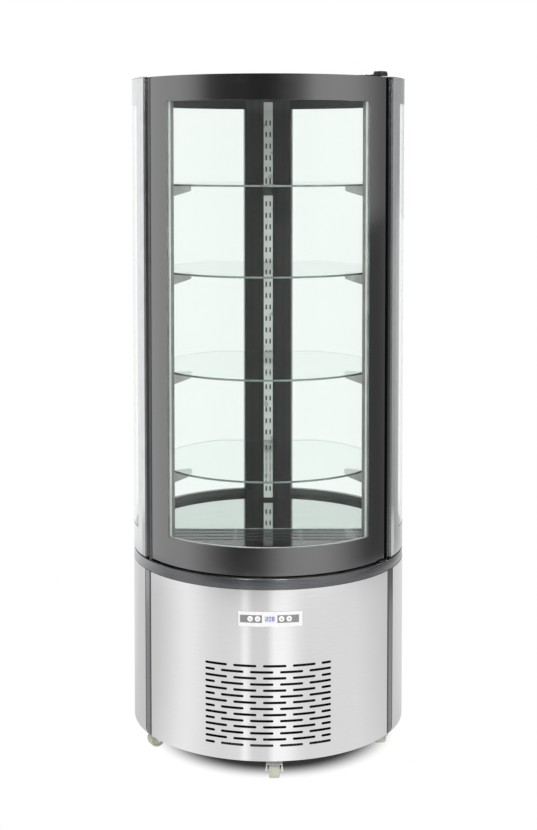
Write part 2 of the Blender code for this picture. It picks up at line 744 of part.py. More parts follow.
def make_collar_ring(finish):
    """Collar between the base and the glass cabinet: a channel that opens inwards."""
    web = R_RING - RING_SHEET
    profile = [
        (R_RING_IN, Z_RING), (R_RING, Z_RING), (R_RING, Z_RING_TOP - RING_CHAMFER),
        (R_RING - RING_CHAMFER, Z_RING_TOP), (R_RING_IN, Z_RING_TOP), (R_RING_IN, Z_RING_TOP - RING_SHEET),
        (web, Z_RING_TOP - RING_SHEET), (web, Z_RING + RING_SHEET), (R_RING_IN, Z_RING + RING_SHEET),
    ]
    steps = round(270 / ARC_STEP_DEG)
    return make_object("collar_ring", revolve(profile, steps, closed=True), finish["ring_steel"])


def make_controls(finish):
    """Control plate, its display window and its push buttons."""
    outer = BODY_RADIUS - PANEL_RECESS
    inner = outer - PANEL_THICKNESS
    gap = degrees_of(FIT_GAP, BODY_RADIUS)
    high = Z_RING - PANEL_DROP - FIT_GAP
    low = high - PANEL_HEIGHT + 2 * FIT_GAP
    middle = (low + high) / 2
    window = SKIRT_TURN_DEG + degrees_of(WINDOW_PLACE, BODY_RADIUS)
    half = degrees_of(WINDOW_WIDTH / 2, BODY_RADIUS)
    plate = make_object(
        "control_panel",
        window_panel(
            inner, outer, (SKIRT_TURN_DEG - PANEL_HALF_DEG + gap, SKIRT_TURN_DEG + PANEL_HALF_DEG - gap),
            (low, high),
            (window - half, window + half), (middle - WINDOW_HEIGHT / 2, middle + WINDOW_HEIGHT / 2),
        ),
        finish["panel"],
    )
    for number, place in enumerate(BUTTON_PLACES, start=1):
        degrees = SKIRT_TURN_DEG + degrees_of(place, BODY_RADIUS)
        cut(plate, rod(
            BUTTON_RADIUS + BUTTON_CLEARANCE, polar(inner - CUT_OVERRUN, degrees, middle),
            polar(outer + CUT_OVERRUN, degrees, middle), ROUND_STEPS,
        ))
        axis = make_empty(f"button_axis_{number}", polar(BODY_RADIUS, degrees, middle))
        axis.rotation_euler = (0, 0, math.radians(degrees))
        flange_back = BUTTON_LENGTH
        flange_front = BODY_RADIUS - inner + BUTTON_SEAT_GAP
        profile = [
            (0, 0), (BUTTON_RADIUS, 0), (BUTTON_RADIUS, -flange_front), (BUTTON_FLANGE_RADIUS, -flange_front),
            (BUTTON_FLANGE_RADIUS, -flange_back), (0, -flange_back),
        ]
        button = revolve(profile, ROUND_STEPS)
        facing = Matrix.Rotation(math.pi / 2, 3, "X")
        bmesh.ops.rotate(button, verts=button.verts, cent=(0, 0, 0), matrix=facing)
        make_object(f"button_{number}", button, finish["button"], parent=axis)
    lens_out = outer - WINDOW_RECESS
    make_object(
        "display_window",
        curved_panel(
            lens_out - WINDOW_THICKNESS, lens_out, arc_degrees(window - half + gap, window + half - gap),
            (middle - WINDOW_HEIGHT / 2 + FIT_GAP, middle + WINDOW_HEIGHT / 2 - FIT_GAP),
        ),
        finish["display"],
    )


def cabin_outline(front, side, split_deg):
    """Plan outline that has one radius across the door and another round the rest."""
    door = arc_points(front, -split_deg, split_deg)
    back = arc_points(side, split_deg, 360.0 - split_deg)
    return door + back


def make_cabinet_floor(finish):
    """Insulated floor: a tub for the evaporator under a wide flange."""
    outline = cabin_outline(R_FACE, R_CABIN, SIDE_DEG)
    low = Z_RING_TOP - TUB_DROP
    floor = make_object("cabinet_floor", prism(outline, Z_SEAT, Z_FLOOR), finish["liner"])
    steps = round(180 / ARC_STEP_DEG)
    join = (Z_SEAT + Z_FLOOR) / 2
    fuse(floor, revolve([(0, low), (R_TUB, low), (R_TUB, join), (0, join)], steps))
    bottom = low + TUB_BOTTOM
    top = Z_FLOOR + CUT_OVERRUN
    cut(floor, revolve([(0, bottom), (R_TUB_IN, bottom), (R_TUB_IN, top), (0, top)], steps))
    return floor


def make_deck(finish):
    """Deck plate round the foot of the column, and the louvred grate before its straight front edge."""
    low = Z_FLOOR + FIT_GAP
    front = math.degrees(math.acos(DECK_FRONT / R_DECK_BACK))
    notch = COLUMN_WIDTH / 2 + DECK_MARGIN
    back = 180.0 - math.degrees(math.asin(notch / R_DECK_BACK))
    right = [*arc_points(R_DECK_BACK, front, back), (notch, COLUMN_FRONT - FIT_GAP)]
    left = [(-x, y) for x, y in reversed(right)]
    make_object("deck_plate", prism(right + left, low, Z_DECK), finish["deck"])
    edge = math.degrees(math.acos((DECK_FRONT + FIT_GAP) / R_DECK_BACK))
    lip_end = UPRIGHT_END_DEG + degrees_of(DECK_MARGIN, R_DECK)
    right = arc_points(R_DECK, 0.0, lip_end) + arc_points(R_DECK_BACK, lip_end, edge)
    left = [(-x, y) for x, y in reversed(right[1:])]
    grate = make_object("air_grille", prism(right + left, low, low + GRATE_SHEET), finish["black_coat"])
    under, over = low - CUT_OVERRUN, low + GRATE_SHEET + CUT_OVERRUN
    slots = []
    for k in range(GRATE_SLOT_COUNT):
        near = DECK_FRONT + GRATE_SLOT_MARGIN + k * GRATE_PITCH
        far = near + GRATE_SLOT_WIDTH
        end = math.sqrt(R_DECK ** 2 - far ** 2) - GRATE_SLOT_MARGIN
        side, middle = GRATE_RIB_PLACE + GRATE_RIB / 2, GRATE_RIB_PLACE - GRATE_RIB / 2
        for start, stop in ((-end, -side), (-middle, middle), (side, end)):
            slots.append(box((start, -far, under), (stop, -near, over)))
    cut(grate, merged(slots))


def make_roof(finish):
    """Insulated roof with a thin cap over the glass, and the lamp under its ceiling."""
    body = prism(cabin_outline(R_FACE, R_CABIN, SIDE_DEG), Z_CEILING, Z_CAP + ROOF_CAP / 2)
    roof = make_object("roof", body, finish["black_panel"])
    fuse(roof, prism(cabin_outline(R_FACE - WELD, R_SIDE, UPRIGHT_DEG), Z_CAP, Z_ROOF))
    half = Vector((LAMP_LENGTH, LAMP_WIDTH, LAMP_HEIGHT)) / 2
    hang = (0, -LAMP_FRONT, Z_CEILING - FIT_GAP - half.z)
    lamp = make_object("ceiling_lamp", box(-half, half), finish["lamp"], location=hang)
    soften(lamp, LAMP_BEVEL)


def make_upright(name, side, finish):
    """Front upright: a lip that the door seals on and a strip that shows beside the door."""
    def span(start, end):
        return arc_degrees(*sorted((side * start, side * end)))

    strip = curved_panel(
        R_FACE + FIT_GAP, R_UPRIGHT_OUT, span(UPRIGHT_DEG, UPRIGHT_END_DEG), (Z_SEAT, Z_UNDER_CAP)
    )
    upright = make_object(name, strip, finish["black_panel"])
    low, high = Z_FLOOR + FIT_GAP, Z_CEILING - FIT_GAP
    fuse(upright, curved_panel(R_UPRIGHT_IN, R_FACE, span(UPRIGHT_LIP_DEG, UPRIGHT_END_DEG), (low, high)))
    middle = (UPRIGHT_DEG + UPRIGHT_END_DEG) / 2
    web = (R_FACE - UPRIGHT_DEPTH / 2, R_FACE + UPRIGHT_DEPTH / 2)
    end = UPRIGHT_END_DEG - degrees_of(FIT_GAP, R_FACE)
    fuse(upright, curved_panel(*web, span(middle, end), (low, high)))
    return upright


def make_column(finish):
    """Rear air column between the side panes, with upright ridges on its front."""
    half = COLUMN_WIDTH / 2
    front = []
    depth = COLUMN_FRONT
    for place in COLUMN_RIDGE_PLACES:
        front.append((place, depth))
        depth = 2 * COLUMN_FRONT + COLUMN_RIDGE - depth
        front.append((place, depth))
    right = [*front, (half, COLUMN_FRONT)]
    left = [(-x, y) for x, y in reversed(right)]
    reach = R_CABIN + SIDE_INNER_PANE
    back = math.sqrt(reach ** 2 - half ** 2)
    outline = left + right + [(half, back), (-half, back)]
    low, high = Z_FLOOR + FIT_GAP, Z_CEILING - FIT_GAP
    column = make_object("rear_column", prism(outline, low, high), finish["black_coat"])
    inside = half - COLUMN_WALL
    cut(column, box(
        (-inside, COLUMN_FRONT + COLUMN_RIDGE + COLUMN_WALL, low - CUT_OVERRUN),
        (inside, back - COLUMN_WALL, high + CUT_OVERRUN),
    ))
    degrees = arc_degrees(180.0 - COLUMN_HALF_DEG, 180.0 + COLUMN_HALF_DEG)
    fuse(column, curved_panel(R_CABIN + FIT_GAP, R_SIDE, degrees, (Z_SEAT, Z_UNDER_CAP)))
    return column


def make_side(name, side, finish):
    """Curved side window: outer pane, bordered spacer frame and inner pane."""
    start, end = sorted((side * SIDE_DEG, side * SIDE_END_DEG))
    low, high = Z_SEAT, Z_UNDER_CAP
    make_object(
        f"side_glass_{name}", curved_panel(R_SIDE - SIDE_PANE, R_SIDE, arc_degrees(start, end), (low, high)),
        finish["glass"],
    )
    front = SIDE_DEG + degrees_of(SIDE_STILE, R_SIDE)
    rear = SIDE_END_DEG - degrees_of(SIDE_REAR_STILE, R_SIDE)
    opening = sorted((side * front, side * rear))
    make_object(
        f"side_frame_{name}",
        window_panel(
            R_SIDE_FRAME - SIDE_FRAME_DEPTH, R_SIDE_FRAME, (start, end), (low, high), opening,
            (low + SIDE_BOTTOM_RAIL, high - SIDE_TOP_RAIL),
        ),
        finish["frame_silver"],
    )
    margin = degrees_of(SIDE_INNER_MARGIN, R_SIDE)
    make_object(
        f"side_inner_glass_{name}",
        curved_panel(
            R_SIDE_INNER - SIDE_INNER_PANE, R_SIDE_INNER, arc_degrees(start + margin, end - margin),
            (low + SIDE_INNER_MARGIN, high - SIDE_INNER_MARGIN),
        ),
        finish["glass"],
    )


def make_door(finish):
    """Double-glazed curved door with its gasket, hung on two pins."""
    pivot = polar(R_HINGE, HINGE_DEG)
    axis = make_empty("door_axis", pivot)
    hung = {"location": -pivot, "parent": axis}
    half = DOOR_HALF_DEG
    pane = curved_panel(R_DOOR - DOOR_PANE, R_DOOR, arc_degrees(-half, half), (Z_DOOR, Z_DOOR_TOP))
    make_object("door_glass", pane, finish["glass"], **hung)
    opening = half - degrees_of(DOOR_STILE, R_DOOR)
    frame = make_object(
        "door_frame",
        window_panel(
            R_DOOR_FRAME - DOOR_FRAME_DEPTH, R_DOOR_FRAME, (-half, half), (Z_DOOR, Z_DOOR_TOP),
            (-opening, opening), (Z_DOOR + DOOR_BOTTOM_RAIL, Z_DOOR_TOP - DOOR_TOP_RAIL),
        ),
        finish["frame_black"], **hung,
    )
    foot_pin = (Z_SEAT + FIT_GAP, Z_DOOR + DOOR_BOTTOM_RAIL / 2)
    head_pin = (Z_DOOR_TOP - DOOR_TOP_RAIL / 2, Z_ROOF + HINGE_CAP_HEIGHT - HINGE_CAP_COVER)
    for low, high in (foot_pin, head_pin):
        fuse(frame, rod(HINGE_PIN_RADIUS, (*pivot.xy, low), (*pivot.xy, high)))
    margin = degrees_of(DOOR_INNER_MARGIN, R_DOOR_INNER)
    make_object(
        "door_inner_glass",
        curved_panel(
            R_DOOR_INNER - DOOR_INNER_PANE, R_DOOR_INNER, arc_degrees(margin - half, half - margin),
            (Z_DOOR + DOOR_INNER_MARGIN, Z_DOOR_TOP - DOOR_INNER_MARGIN),
        ),
        finish["glass"], **hung,
    )
    outer = half - degrees_of(GASKET_SIDE_MARGIN, R_GASKET)
    inner = outer - degrees_of(GASKET_WIDTH, R_GASKET)
    low = Z_DOOR + DOOR_INNER_MARGIN + GASKET_END_MARGIN
    high = Z_DOOR_TOP - DOOR_INNER_MARGIN - GASKET_END_MARGIN
    make_object(
        "door_gasket",
        window_panel(
            R_GASKET - GASKET_DEPTH, R_GASKET, (-outer, outer), (low, high), (-inner, inner),
            (low + GASKET_WIDTH, high - GASKET_WIDTH),
        ),
        finish["rubber"], **hung,
    )


def make_hinge_brackets(finish):
    """Top bracket with its pin cap, screwed to the roof, and bottom bracket on the collar."""
    bore = HINGE_PIN_RADIUS + HINGE_PIN_CLEARANCE
    half = HINGE_PLATE_WIDTH / 2
    low = Z_ROOF + FIT_GAP
    cap = HINGE_CAP_DEPTH / 2
    top = make_object(
        "hinge_bracket_top",
        box((-half, -R_HINGE - cap, low), (half, -R_HINGE + cap, Z_ROOF + HINGE_CAP_HEIGHT)),
        finish["black_coat"], turn_deg=HINGE_DEG,
    )
    soften(top, HINGE_CAP_BEVEL)
    fuse(top, box((-half, -R_HINGE, low), (half, -R_HINGE + HINGE_PLATE_REACH, low + HINGE_PLATE)))
    blind = Z_ROOF + HINGE_CAP_HEIGHT - HINGE_CAP_COVER + HINGE_PIN_CLEARANCE
    cut(top, rod(bore, (0, -R_HINGE, low - CUT_OVERRUN), (0, -R_HINGE, blind)))
    foot = HINGE_FOOT_DEPTH / 2
    middle = R_RING - RING_CHAMFER - foot
    bottom = make_object(
        "hinge_bracket_bottom",
        box((-half, -middle - foot, Z_SEAT), (half, -middle + foot, Z_SEAT + HINGE_FOOT)),
        finish["black_coat"], turn_deg=HINGE_DEG,
    )
    cut(bottom, rod(
        bore, (0, -R_HINGE, Z_SEAT - CUT_OVERRUN), (0, -R_HINGE, Z_SEAT + HINGE_FOOT + CUT_OVERRUN)
    ))
    cut(bottom, rod(
        R_FACE + FIT_GAP, (0, 0, Z_SEAT - CUT_OVERRUN), (0, 0, Z_SEAT + HINGE_FOOT + CUT_OVERRUN),
        round(720 / ARC_STEP_DEG),
    ))


def wedge(front, reach, root, tip, width, top):
    """Shelf bracket that tapers from a root at y = front towards the cabinet's middle."""
    end = front + reach
    return side_prism([(front, top), (front, top - root), (end, top - tip), (end, top)], width)


def make_rail(name, face, turn_deg, columns, pitch, finish):
    """Slotted rail flat against a face of the frame, modelled at the front and turned to its place."""
    half = RAIL_WIDTH / 2
    low, high = Z_DECK + RAIL_END_GAP, Z_CEILING - RAIL_END_GAP
    strip = box((-half, -face, low), (half, -face + RAIL_SHEET, high))
    rail = make_object(name, strip, finish["stainless"], turn_deg=turn_deg)
    count = math.floor((high - low) / pitch)
    first = (low + high) / 2 - (count - 1) / 2 * pitch
    slots = []
    for row in range(count):
        z = first + row * pitch
        for column in range(columns):
            x = (column - (columns - 1) / 2) * RAIL_SLOT_SPACING
            slots.append(box(
                (x - RAIL_SLOT_WIDTH / 2, -face - CUT_OVERRUN, z - RAIL_SLOT_HEIGHT / 2),
                (x + RAIL_SLOT_WIDTH / 2, -face + RAIL_SHEET + CUT_OVERRUN, z + RAIL_SLOT_HEIGHT / 2),
            ))
    cut(rail, merged(slots))
    return rail


def make_shelves(finish):
    """Round glass shelves, the slotted rails and the brackets that carry each shelf at three points."""
    seats = [height - SHELF_GLASS for height in SHELF_HEIGHTS]
    back = math.degrees(math.acos((COLUMN_FRONT - FIT_GAP - RAIL_SHEET - SHELF_REAR_GAP) / R_SHELF))
    outline = arc_points(R_SHELF, back - 180.0, 180.0 - back, SHELF_STEP_DEG)
    for number, seat in enumerate(reversed(seats), start=1):
        make_object(f"shelf_{number}", prism(outline, 0, SHELF_GLASS), finish["glass"], location=(0, 0, seat))
    face = math.sqrt((R_UPRIGHT_IN - FIT_GAP) ** 2 - (RAIL_WIDTH / 2) ** 2)
    for name, side in (("left", -1), ("right", 1)):
        turn_deg = side * FRONT_RAIL_DEG
        rail = make_rail(f"bracket_rail_{name}", face, turn_deg, 1, FRONT_RAIL_SLOT_PITCH, finish)
        for seat in seats:
            fuse(rail, wedge(
                RAIL_SHEET / 2 - face, BRACKET_REACH, BRACKET_ROOT, BRACKET_TIP, BRACKET_WIDTH, seat - FIT_GAP
            ))
    rear_face = COLUMN_FRONT - FIT_GAP
    make_rail("bracket_rail_rear", rear_face, 180.0, 2, RAIL_SLOT_PITCH, finish)
    root = RAIL_SHEET + FIT_GAP - rear_face
    for number, seat in enumerate(reversed(seats), start=1):
        bracket = wedge(
            root, REAR_BRACKET_REACH, REAR_BRACKET_ROOT, REAR_BRACKET_TIP, REAR_BRACKET_WIDTH, -FIT_GAP
        )
        make_object(
            f"rear_bracket_{number}", bracket, finish["black_coat"], location=(0, 0, seat), turn_deg=180.0
        )


def comb_outline(width, front, depth, core):
    """Plan outline of a finned coil: a core along the back with upright fins that face the front."""
    pitch = (width - FIN_SHEET) / (FIN_COUNT - 1)
    outline = [(width / 2, front + depth), (-width / 2, front + depth)]
    for k in range(FIN_COUNT):
        x = k * pitch - width / 2
        if k:
            outline.append((x, front + depth - core))
        outline += [(x, front), (x + FIN_SHEET, front)]
        if k < FIN_COUNT - 1:
            outline.append((x + FIN_SHEET, front + depth - core))
    return outline


def make_fan(name, radius, hub, length, chord, centre, finish):
    """Axial fan rotor about the Y axis: a bored hub with pitched, tapering blades."""
    axis = make_empty(f"{name}_axis", centre)
    bore = SHAFT_RADIUS + SHAFT_CLEARANCE
    end = length / 2
    boss = revolve([(bore, -end), (hub, -end), (hub, end), (bore, end)], ROUND_STEPS, closed=True)
    bmesh.ops.rotate(boss, verts=boss.verts, cent=(0, 0, 0), matrix=Matrix.Rotation(math.pi / 2, 3, "X"))
    rotor = make_object(name, boss, finish["fan"], parent=axis)
    for k in range(FAN_BLADE_COUNT):
        blade = bmesh.new()
        pitch = Matrix.Rotation(math.radians(FAN_BLADE_PITCH_DEG), 3, "Z")
        sections = []
        for reach in (hub * blade_root_share, radius):
            width = chord * (1 - blade_taper_share * (1 - reach / radius))
            corners = [
                (x * FAN_BLADE_SHEET / 2, y * width / 2) for x, y in ((-1, -1), (1, -1), (1, 1), (-1, 1))
            ]
            sections.append([blade.verts.new((*(pitch @ Vector((x, y, 0))).xy, reach)) for x, y in corners])
        root, tip = sections
        blade.faces.new(root)
        blade.faces.new(tip)
        for a in range(4):
            b = (a + 1) % 4
            blade.faces.new([root[a], root[b], tip[b], tip[a]])
        turn = Matrix.Rotation(math.tau * k / FAN_BLADE_COUNT, 3, "Y")
        bmesh.ops.rotate(blade, verts=blade.verts, cent=(0, 0, 0), matrix=turn)
        fuse(rotor, blade)
    return rotor


def add_fan_mount(item, hole, plate_y, fan_y, hub_length, centre_z, motor_radius, motor_length, foot_low):
    """Cut the air hole in a coil or shroud plate and carry the motor behind it on a foot."""
    ends = ((0, plate_y[0] - CUT_OVERRUN, centre_z), (0, plate_y[1] + CUT_OVERRUN, centre_z))
    cut(item, rod(hole, *ends, AIR_HOLE_STEPS))
    motor_front = fan_y + hub_length / 2 + FAN_SETBACK
    motor_back = motor_front + motor_length
    half = MOTOR_FOOT_WIDTH / 2
    fuse(item, box((-half, plate_y[0] + FIT_GAP, foot_low), (half, motor_back, foot_low + MOTOR_FOOT_SHEET)))
    post_front = motor_back - MOTOR_FOOT_SHEET
    fuse(item, box((-half, post_front, foot_low + MOTOR_FOOT_SHEET / 2), (half, motor_back, centre_z)))
    fuse(item, rod(motor_radius, (0, motor_front, centre_z), (0, motor_back - FIT_GAP, centre_z)))
    shaft = ((0, fan_y - hub_length / 2, centre_z), (0, motor_front + FAN_SETBACK, centre_z))
    fuse(item, rod(SHAFT_RADIUS, *shaft, ROUND_STEPS))


def make_condensing_unit(finish):
    """Compressor, condenser coil, fan shroud with its motor, fan and drip tray on the base plate."""
    floor = Z_BASE + BASE_SHEET + FIT_GAP
    x, y = COMPRESSOR_PLACE
    high = floor + COMPRESSOR_HEIGHT
    seam = (floor + high) / 2
    wide = COMPRESSOR_RADIUS
    low = floor + COMPRESSOR_FOOT_SHEET / 2
    can = [
        (0, low), (wide - COMPRESSOR_DOME / 2, low), (wide - COMPRESSOR_SEAM, floor + COMPRESSOR_DOME),
        (wide - COMPRESSOR_SEAM, seam - COMPRESSOR_SEAM),
        (wide, seam - COMPRESSOR_SEAM), (wide, seam + COMPRESSOR_SEAM),
        (wide - COMPRESSOR_SEAM, seam + COMPRESSOR_SEAM), (wide - COMPRESSOR_SEAM, high - COMPRESSOR_DOME),
        (wide - COMPRESSOR_DOME / 2, high - COMPRESSOR_SHOULDER), (COMPRESSOR_CROWN_RADIUS, high), (0, high),
    ]
    compressor = make_object("compressor", revolve(can, PIN_STEPS), finish["compressor"], location=(x, y, 0))
    across, deep = COMPRESSOR_FOOT_WIDTH / 2, COMPRESSOR_FOOT_DEPTH / 2
    fuse(compressor, box((-across, -deep, floor), (across, deep, floor + COMPRESSOR_FOOT_SHEET)))
    front = -CONDENSER_FRONT
    comb = comb_outline(CONDENSER_WIDTH, front, CONDENSER_DEPTH, CONDENSER_CORE)
    make_object("condenser", prism(comb, floor, floor + CONDENSER_HEIGHT), finish["coil"])
    plate = (front + CONDENSER_DEPTH + FIT_GAP, front + CONDENSER_DEPTH + FIT_GAP + SHROUD_SHEET)
    middle = floor + CONDENSER_HEIGHT / 2
    half = CONDENSER_WIDTH / 2
    sheet = box((-half, plate[0], floor), (half, plate[1], floor + CONDENSER_HEIGHT))
    shroud = make_object("fan_shroud", sheet, finish["black_coat"])
    fan_y = plate[1] + FAN_SETBACK + FAN_BLADE_CHORD / 2
    add_fan_mount(
        shroud, SHROUD_HOLE_RADIUS, plate, fan_y, FAN_HUB_LENGTH, middle, MOTOR_RADIUS, MOTOR_LENGTH, floor
    )
    hub = (FAN_HUB_RADIUS, FAN_HUB_LENGTH)
    make_fan("condenser_fan", FAN_RADIUS, *hub, FAN_BLADE_CHORD, (0, fan_y, middle), finish)
    size = Vector(TRAY_SIZE)
    tray = make_object(
        "drip_tray", box((-size.x / 2, -size.y / 2, 0), (size.x / 2, size.y / 2, size.z)), finish["coil"],
        location=(*TRAY_PLACE, floor),
    )
    cut(tray, box(
        (TRAY_WALL - size.x / 2, TRAY_WALL - size.y / 2, TRAY_WALL),
        (size.x / 2 - TRAY_WALL, size.y / 2 - TRAY_WALL, size.z + CUT_OVERRUN),
    ))


def make_evaporator(finish):
    """Evaporator coil with its fan and motor, on the floor of the insulated tub."""
    floor = Z_RING_TOP - TUB_DROP + TUB_BOTTOM + FIT_GAP
    front = -EVAPORATOR_FRONT
    comb = comb_outline(EVAPORATOR_WIDTH, front, EVAPORATOR_DEPTH, EVAPORATOR_CORE)
    coil = make_object("evaporator", prism(comb, floor, floor + EVAPORATOR_HEIGHT), finish["coil"])
    core = (front + EVAPORATOR_DEPTH - EVAPORATOR_CORE, front + EVAPORATOR_DEPTH)
    middle = floor + EVAPORATOR_HEIGHT / 2
    fan_y = core[1] + FAN_SETBACK + EVAPORATOR_CHORD / 2
    add_fan_mount(
        coil, EVAPORATOR_HOLE_RADIUS, core, fan_y, EVAPORATOR_HUB_LENGTH, middle, EVAPORATOR_MOTOR_RADIUS,
        EVAPORATOR_MOTOR_LENGTH, floor,
    )
    hub = (EVAPORATOR_HUB_RADIUS, EVAPORATOR_HUB_LENGTH)
    make_fan("evaporator_fan", EVAPORATOR_FAN_RADIUS, *hub, EVAPORATOR_CHORD, (0, fan_y, middle), finish)


def main():
    """Build the whole case."""
    clear_scene()
    finish = make_materials()
    make_base_plate(finish)
    for number, (place, heading) in enumerate(caster_places(), start=1):
        make_caster(number, place, heading, finish)
    make_skirt(finish)
    make_base_post("base_post_left", -1, finish)
    make_base_post("base_post_right", 1, finish)
    make_collar_ring(finish)
    make_controls(finish)
    make_condensing_unit(finish)
    make_cabinet_floor(finish)
    make_evaporator(finish)
    make_deck(finish)
    make_upright("upright_left", -1, finish)
    make_upright("upright_right", 1, finish)
    make_column(finish)
    make_side("left", -1, finish)
    make_side("right", 1, finish)
    make_roof(finish)
    make_shelves(finish)
    make_hinge_brackets(finish)
    make_door(finish)


main()
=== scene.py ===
"""Dressed model of a round refrigerated cake display case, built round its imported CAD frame.

The case stands on z = 0 and its door faces -Y. Angles are in degrees from the middle of the door,
positive towards +X. Lengths are in metres unless a name ends in mm.
"""

import json
import logging
import math
from collections.abc import Callable, Iterable, Sequence
from dataclasses import dataclass
from enum import Enum

import bmesh
import bpy
from mathutils import Matrix, Vector
from mathutils.geometry import delaunay_2d_cdt

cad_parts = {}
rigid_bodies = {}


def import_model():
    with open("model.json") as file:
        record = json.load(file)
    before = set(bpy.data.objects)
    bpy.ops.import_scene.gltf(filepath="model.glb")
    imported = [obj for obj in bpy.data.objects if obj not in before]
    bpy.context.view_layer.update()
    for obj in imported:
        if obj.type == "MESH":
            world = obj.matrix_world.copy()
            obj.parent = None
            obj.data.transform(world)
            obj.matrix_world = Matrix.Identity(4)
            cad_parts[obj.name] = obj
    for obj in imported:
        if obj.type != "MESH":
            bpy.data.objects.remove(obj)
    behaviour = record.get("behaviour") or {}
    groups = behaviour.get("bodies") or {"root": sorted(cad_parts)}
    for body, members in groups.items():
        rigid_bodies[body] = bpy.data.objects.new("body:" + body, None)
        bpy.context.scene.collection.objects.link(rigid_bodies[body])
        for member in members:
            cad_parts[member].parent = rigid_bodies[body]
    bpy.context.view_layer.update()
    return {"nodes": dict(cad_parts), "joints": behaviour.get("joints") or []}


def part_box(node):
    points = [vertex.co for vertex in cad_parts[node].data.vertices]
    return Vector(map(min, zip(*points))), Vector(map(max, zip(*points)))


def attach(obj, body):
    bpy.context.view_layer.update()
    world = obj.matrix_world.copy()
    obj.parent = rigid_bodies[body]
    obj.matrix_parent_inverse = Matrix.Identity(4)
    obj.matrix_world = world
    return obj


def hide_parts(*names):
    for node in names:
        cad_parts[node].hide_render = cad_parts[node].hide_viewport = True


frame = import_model()

LOG = logging.getLogger("cake_display_case")
MM = 0.001
GAP = 0.0003  # fit gap between two pieces
BODY_RADIUS = 0.350
DOOR_RADIUS = 0.339
DOOR_HALF_DEG = 59.0
FINE_STEP_DEG = 1.5
SHARP_DEG = 35.0
SIDES = (("left", -1), ("right", 1))
STILL = Matrix.Identity(4)
SIDEWAYS = Matrix(((0, 0, 1, 0), (1, 0, 0, 0), (0, 1, 0, 0), (0, 0, 0, 1)))  # outline of y and z, run along X

Pair = tuple[float, float]
Triple = tuple[float, float, float]
Outline = Sequence[Pair]
Socket = bpy.types.NodeSocket
Tree = bpy.types.NodeTree


class Grain(Enum):
    """Way that the brush lines of a metal sheet run."""

    AROUND = "around"
    UP = "up"
    ACROSS = "across"


def linear(hex_colour: str) -> tuple[float, float, float, float]:
    """Turn an sRGB hex colour into linear values.

    Args:
        hex_colour: colour as #rrggbb.

    Returns:
        Linear red, green, blue and an alpha of one.
    """
    shares = [int(hex_colour[k:k + 2], 16) / 255 for k in (1, 3, 5)]
    red, green, blue = (s / 12.92 if s <= 0.04045 else ((s + 0.055) / 1.055) ** 2.4 for s in shares)
    return red, green, blue, 1.0


def add_node(tree: Tree, kind: str, settings: dict | None = None, links: dict | None = None) -> bpy.types.Node:
    """Add a node with its settings and links.

    Args:
        tree: node tree that takes the node.
        kind: node type, such as ShaderNodeMath.
        settings: socket names or numbers and attribute names, with their values.
        links: input names or numbers, with the output sockets that feed them.

    Returns:
        The new node.
    """
    node = tree.nodes.new(kind)
    for key, value in (settings or {}).items():
        if isinstance(key, int) or key in node.inputs:
            node.inputs[key].default_value = value
        else:
            setattr(node, key, value)
    for key, source in (links or {}).items():
        tree.links.new(source, node.inputs[key])
    return node


def start_finish(name: str, settings: dict) -> tuple[bpy.types.Material, Tree, bpy.types.Node]:
    """Make a material whose shader has its constant values set.

    Args:
        name: name of the material.
        settings: shader sockets with their values, the base colour among them.

    Returns:
        The material, its node tree and its shader.
    """
    material = bpy.data.materials.new(name)
    material.use_nodes = True
    tree = material.node_tree
    shader = tree.nodes["Principled BSDF"]
    for key, value in settings.items():
        shader.inputs[key].default_value = value
    material.diffuse_color = settings["Base Color"]
    return material, tree, shader


def turn_of(tree: Tree, vector: Socket) -> Socket:
    """Angle round the case's axis, in radians from the front towards +X.

    Args:
        tree: node tree that takes the nodes.
        vector: place or direction.

    Returns:
        Value socket.
    """
    parts = add_node(tree, "ShaderNodeSeparateXYZ", links={0: vector})
    front = add_node(tree, "ShaderNodeMath", {"operation": "MULTIPLY", 1: -1.0}, {0: parts.outputs["Y"]})
    links = {0: parts.outputs["X"], 1: front.outputs[0]}
    return add_node(tree, "ShaderNodeMath", {"operation": "ARCTAN2"}, links).outputs[0]


def place_on_surface(tree: Tree, grain: Grain, stretch_mm: float, width_mm: float) -> Socket:
    """Coordinates whose pattern is long one way and fine the other.

    Args:
        tree: node tree that takes the nodes.
        grain: way that the pattern runs.
        stretch_mm: length of one unit of pattern along the grain.
        width_mm: length of one unit of pattern across the grain.

    Returns:
        Vector socket for a texture.
    """
    spot = add_node(tree, "ShaderNodeTexCoord").outputs["Object"]
    along, fine = 1 / (stretch_mm * MM), 1 / (width_mm * MM)
    if grain is not Grain.AROUND:
        scale = (fine, fine, along) if grain is Grain.UP else (along, fine, fine)
        return add_node(tree, "ShaderNodeMapping", {"Scale": scale}, {"Vector": spot}).outputs[0]
    height = add_node(tree, "ShaderNodeSeparateXYZ", links={0: spot}).outputs["Z"]
    bend, rise = (
        add_node(tree, "ShaderNodeMath", {"operation": "MULTIPLY", 1: scale}, {0: source}).outputs[0]
        for scale, source in ((BODY_RADIUS * along, turn_of(tree, spot)), (fine, height))
    )
    return add_node(tree, "ShaderNodeCombineXYZ", links={0: bend, 2: rise}).outputs[0]


def vary(tree: Tree, vector: Socket, detail: float, low: float = 0.0, high: float = 1.0) -> Socket:
    """Noise that runs between two values.

    Args:
        tree: node tree that takes the nodes.
        vector: coordinates of the noise.
        detail: octaves of the noise.
        low: value of the darkest noise.
        high: value of the lightest noise.

    Returns:
        Value socket.
    """
    noise = add_node(tree, "ShaderNodeTexNoise", {"Scale": 1.0, "Detail": detail}, {"Vector": vector})
    reach = {"From Min": 0.25, "From Max": 0.75, "To Min": low, "To Max": high}
    return add_node(tree, "ShaderNodeMapRange", reach, {"Value": noise.outputs["Fac"]}).outputs["Result"]


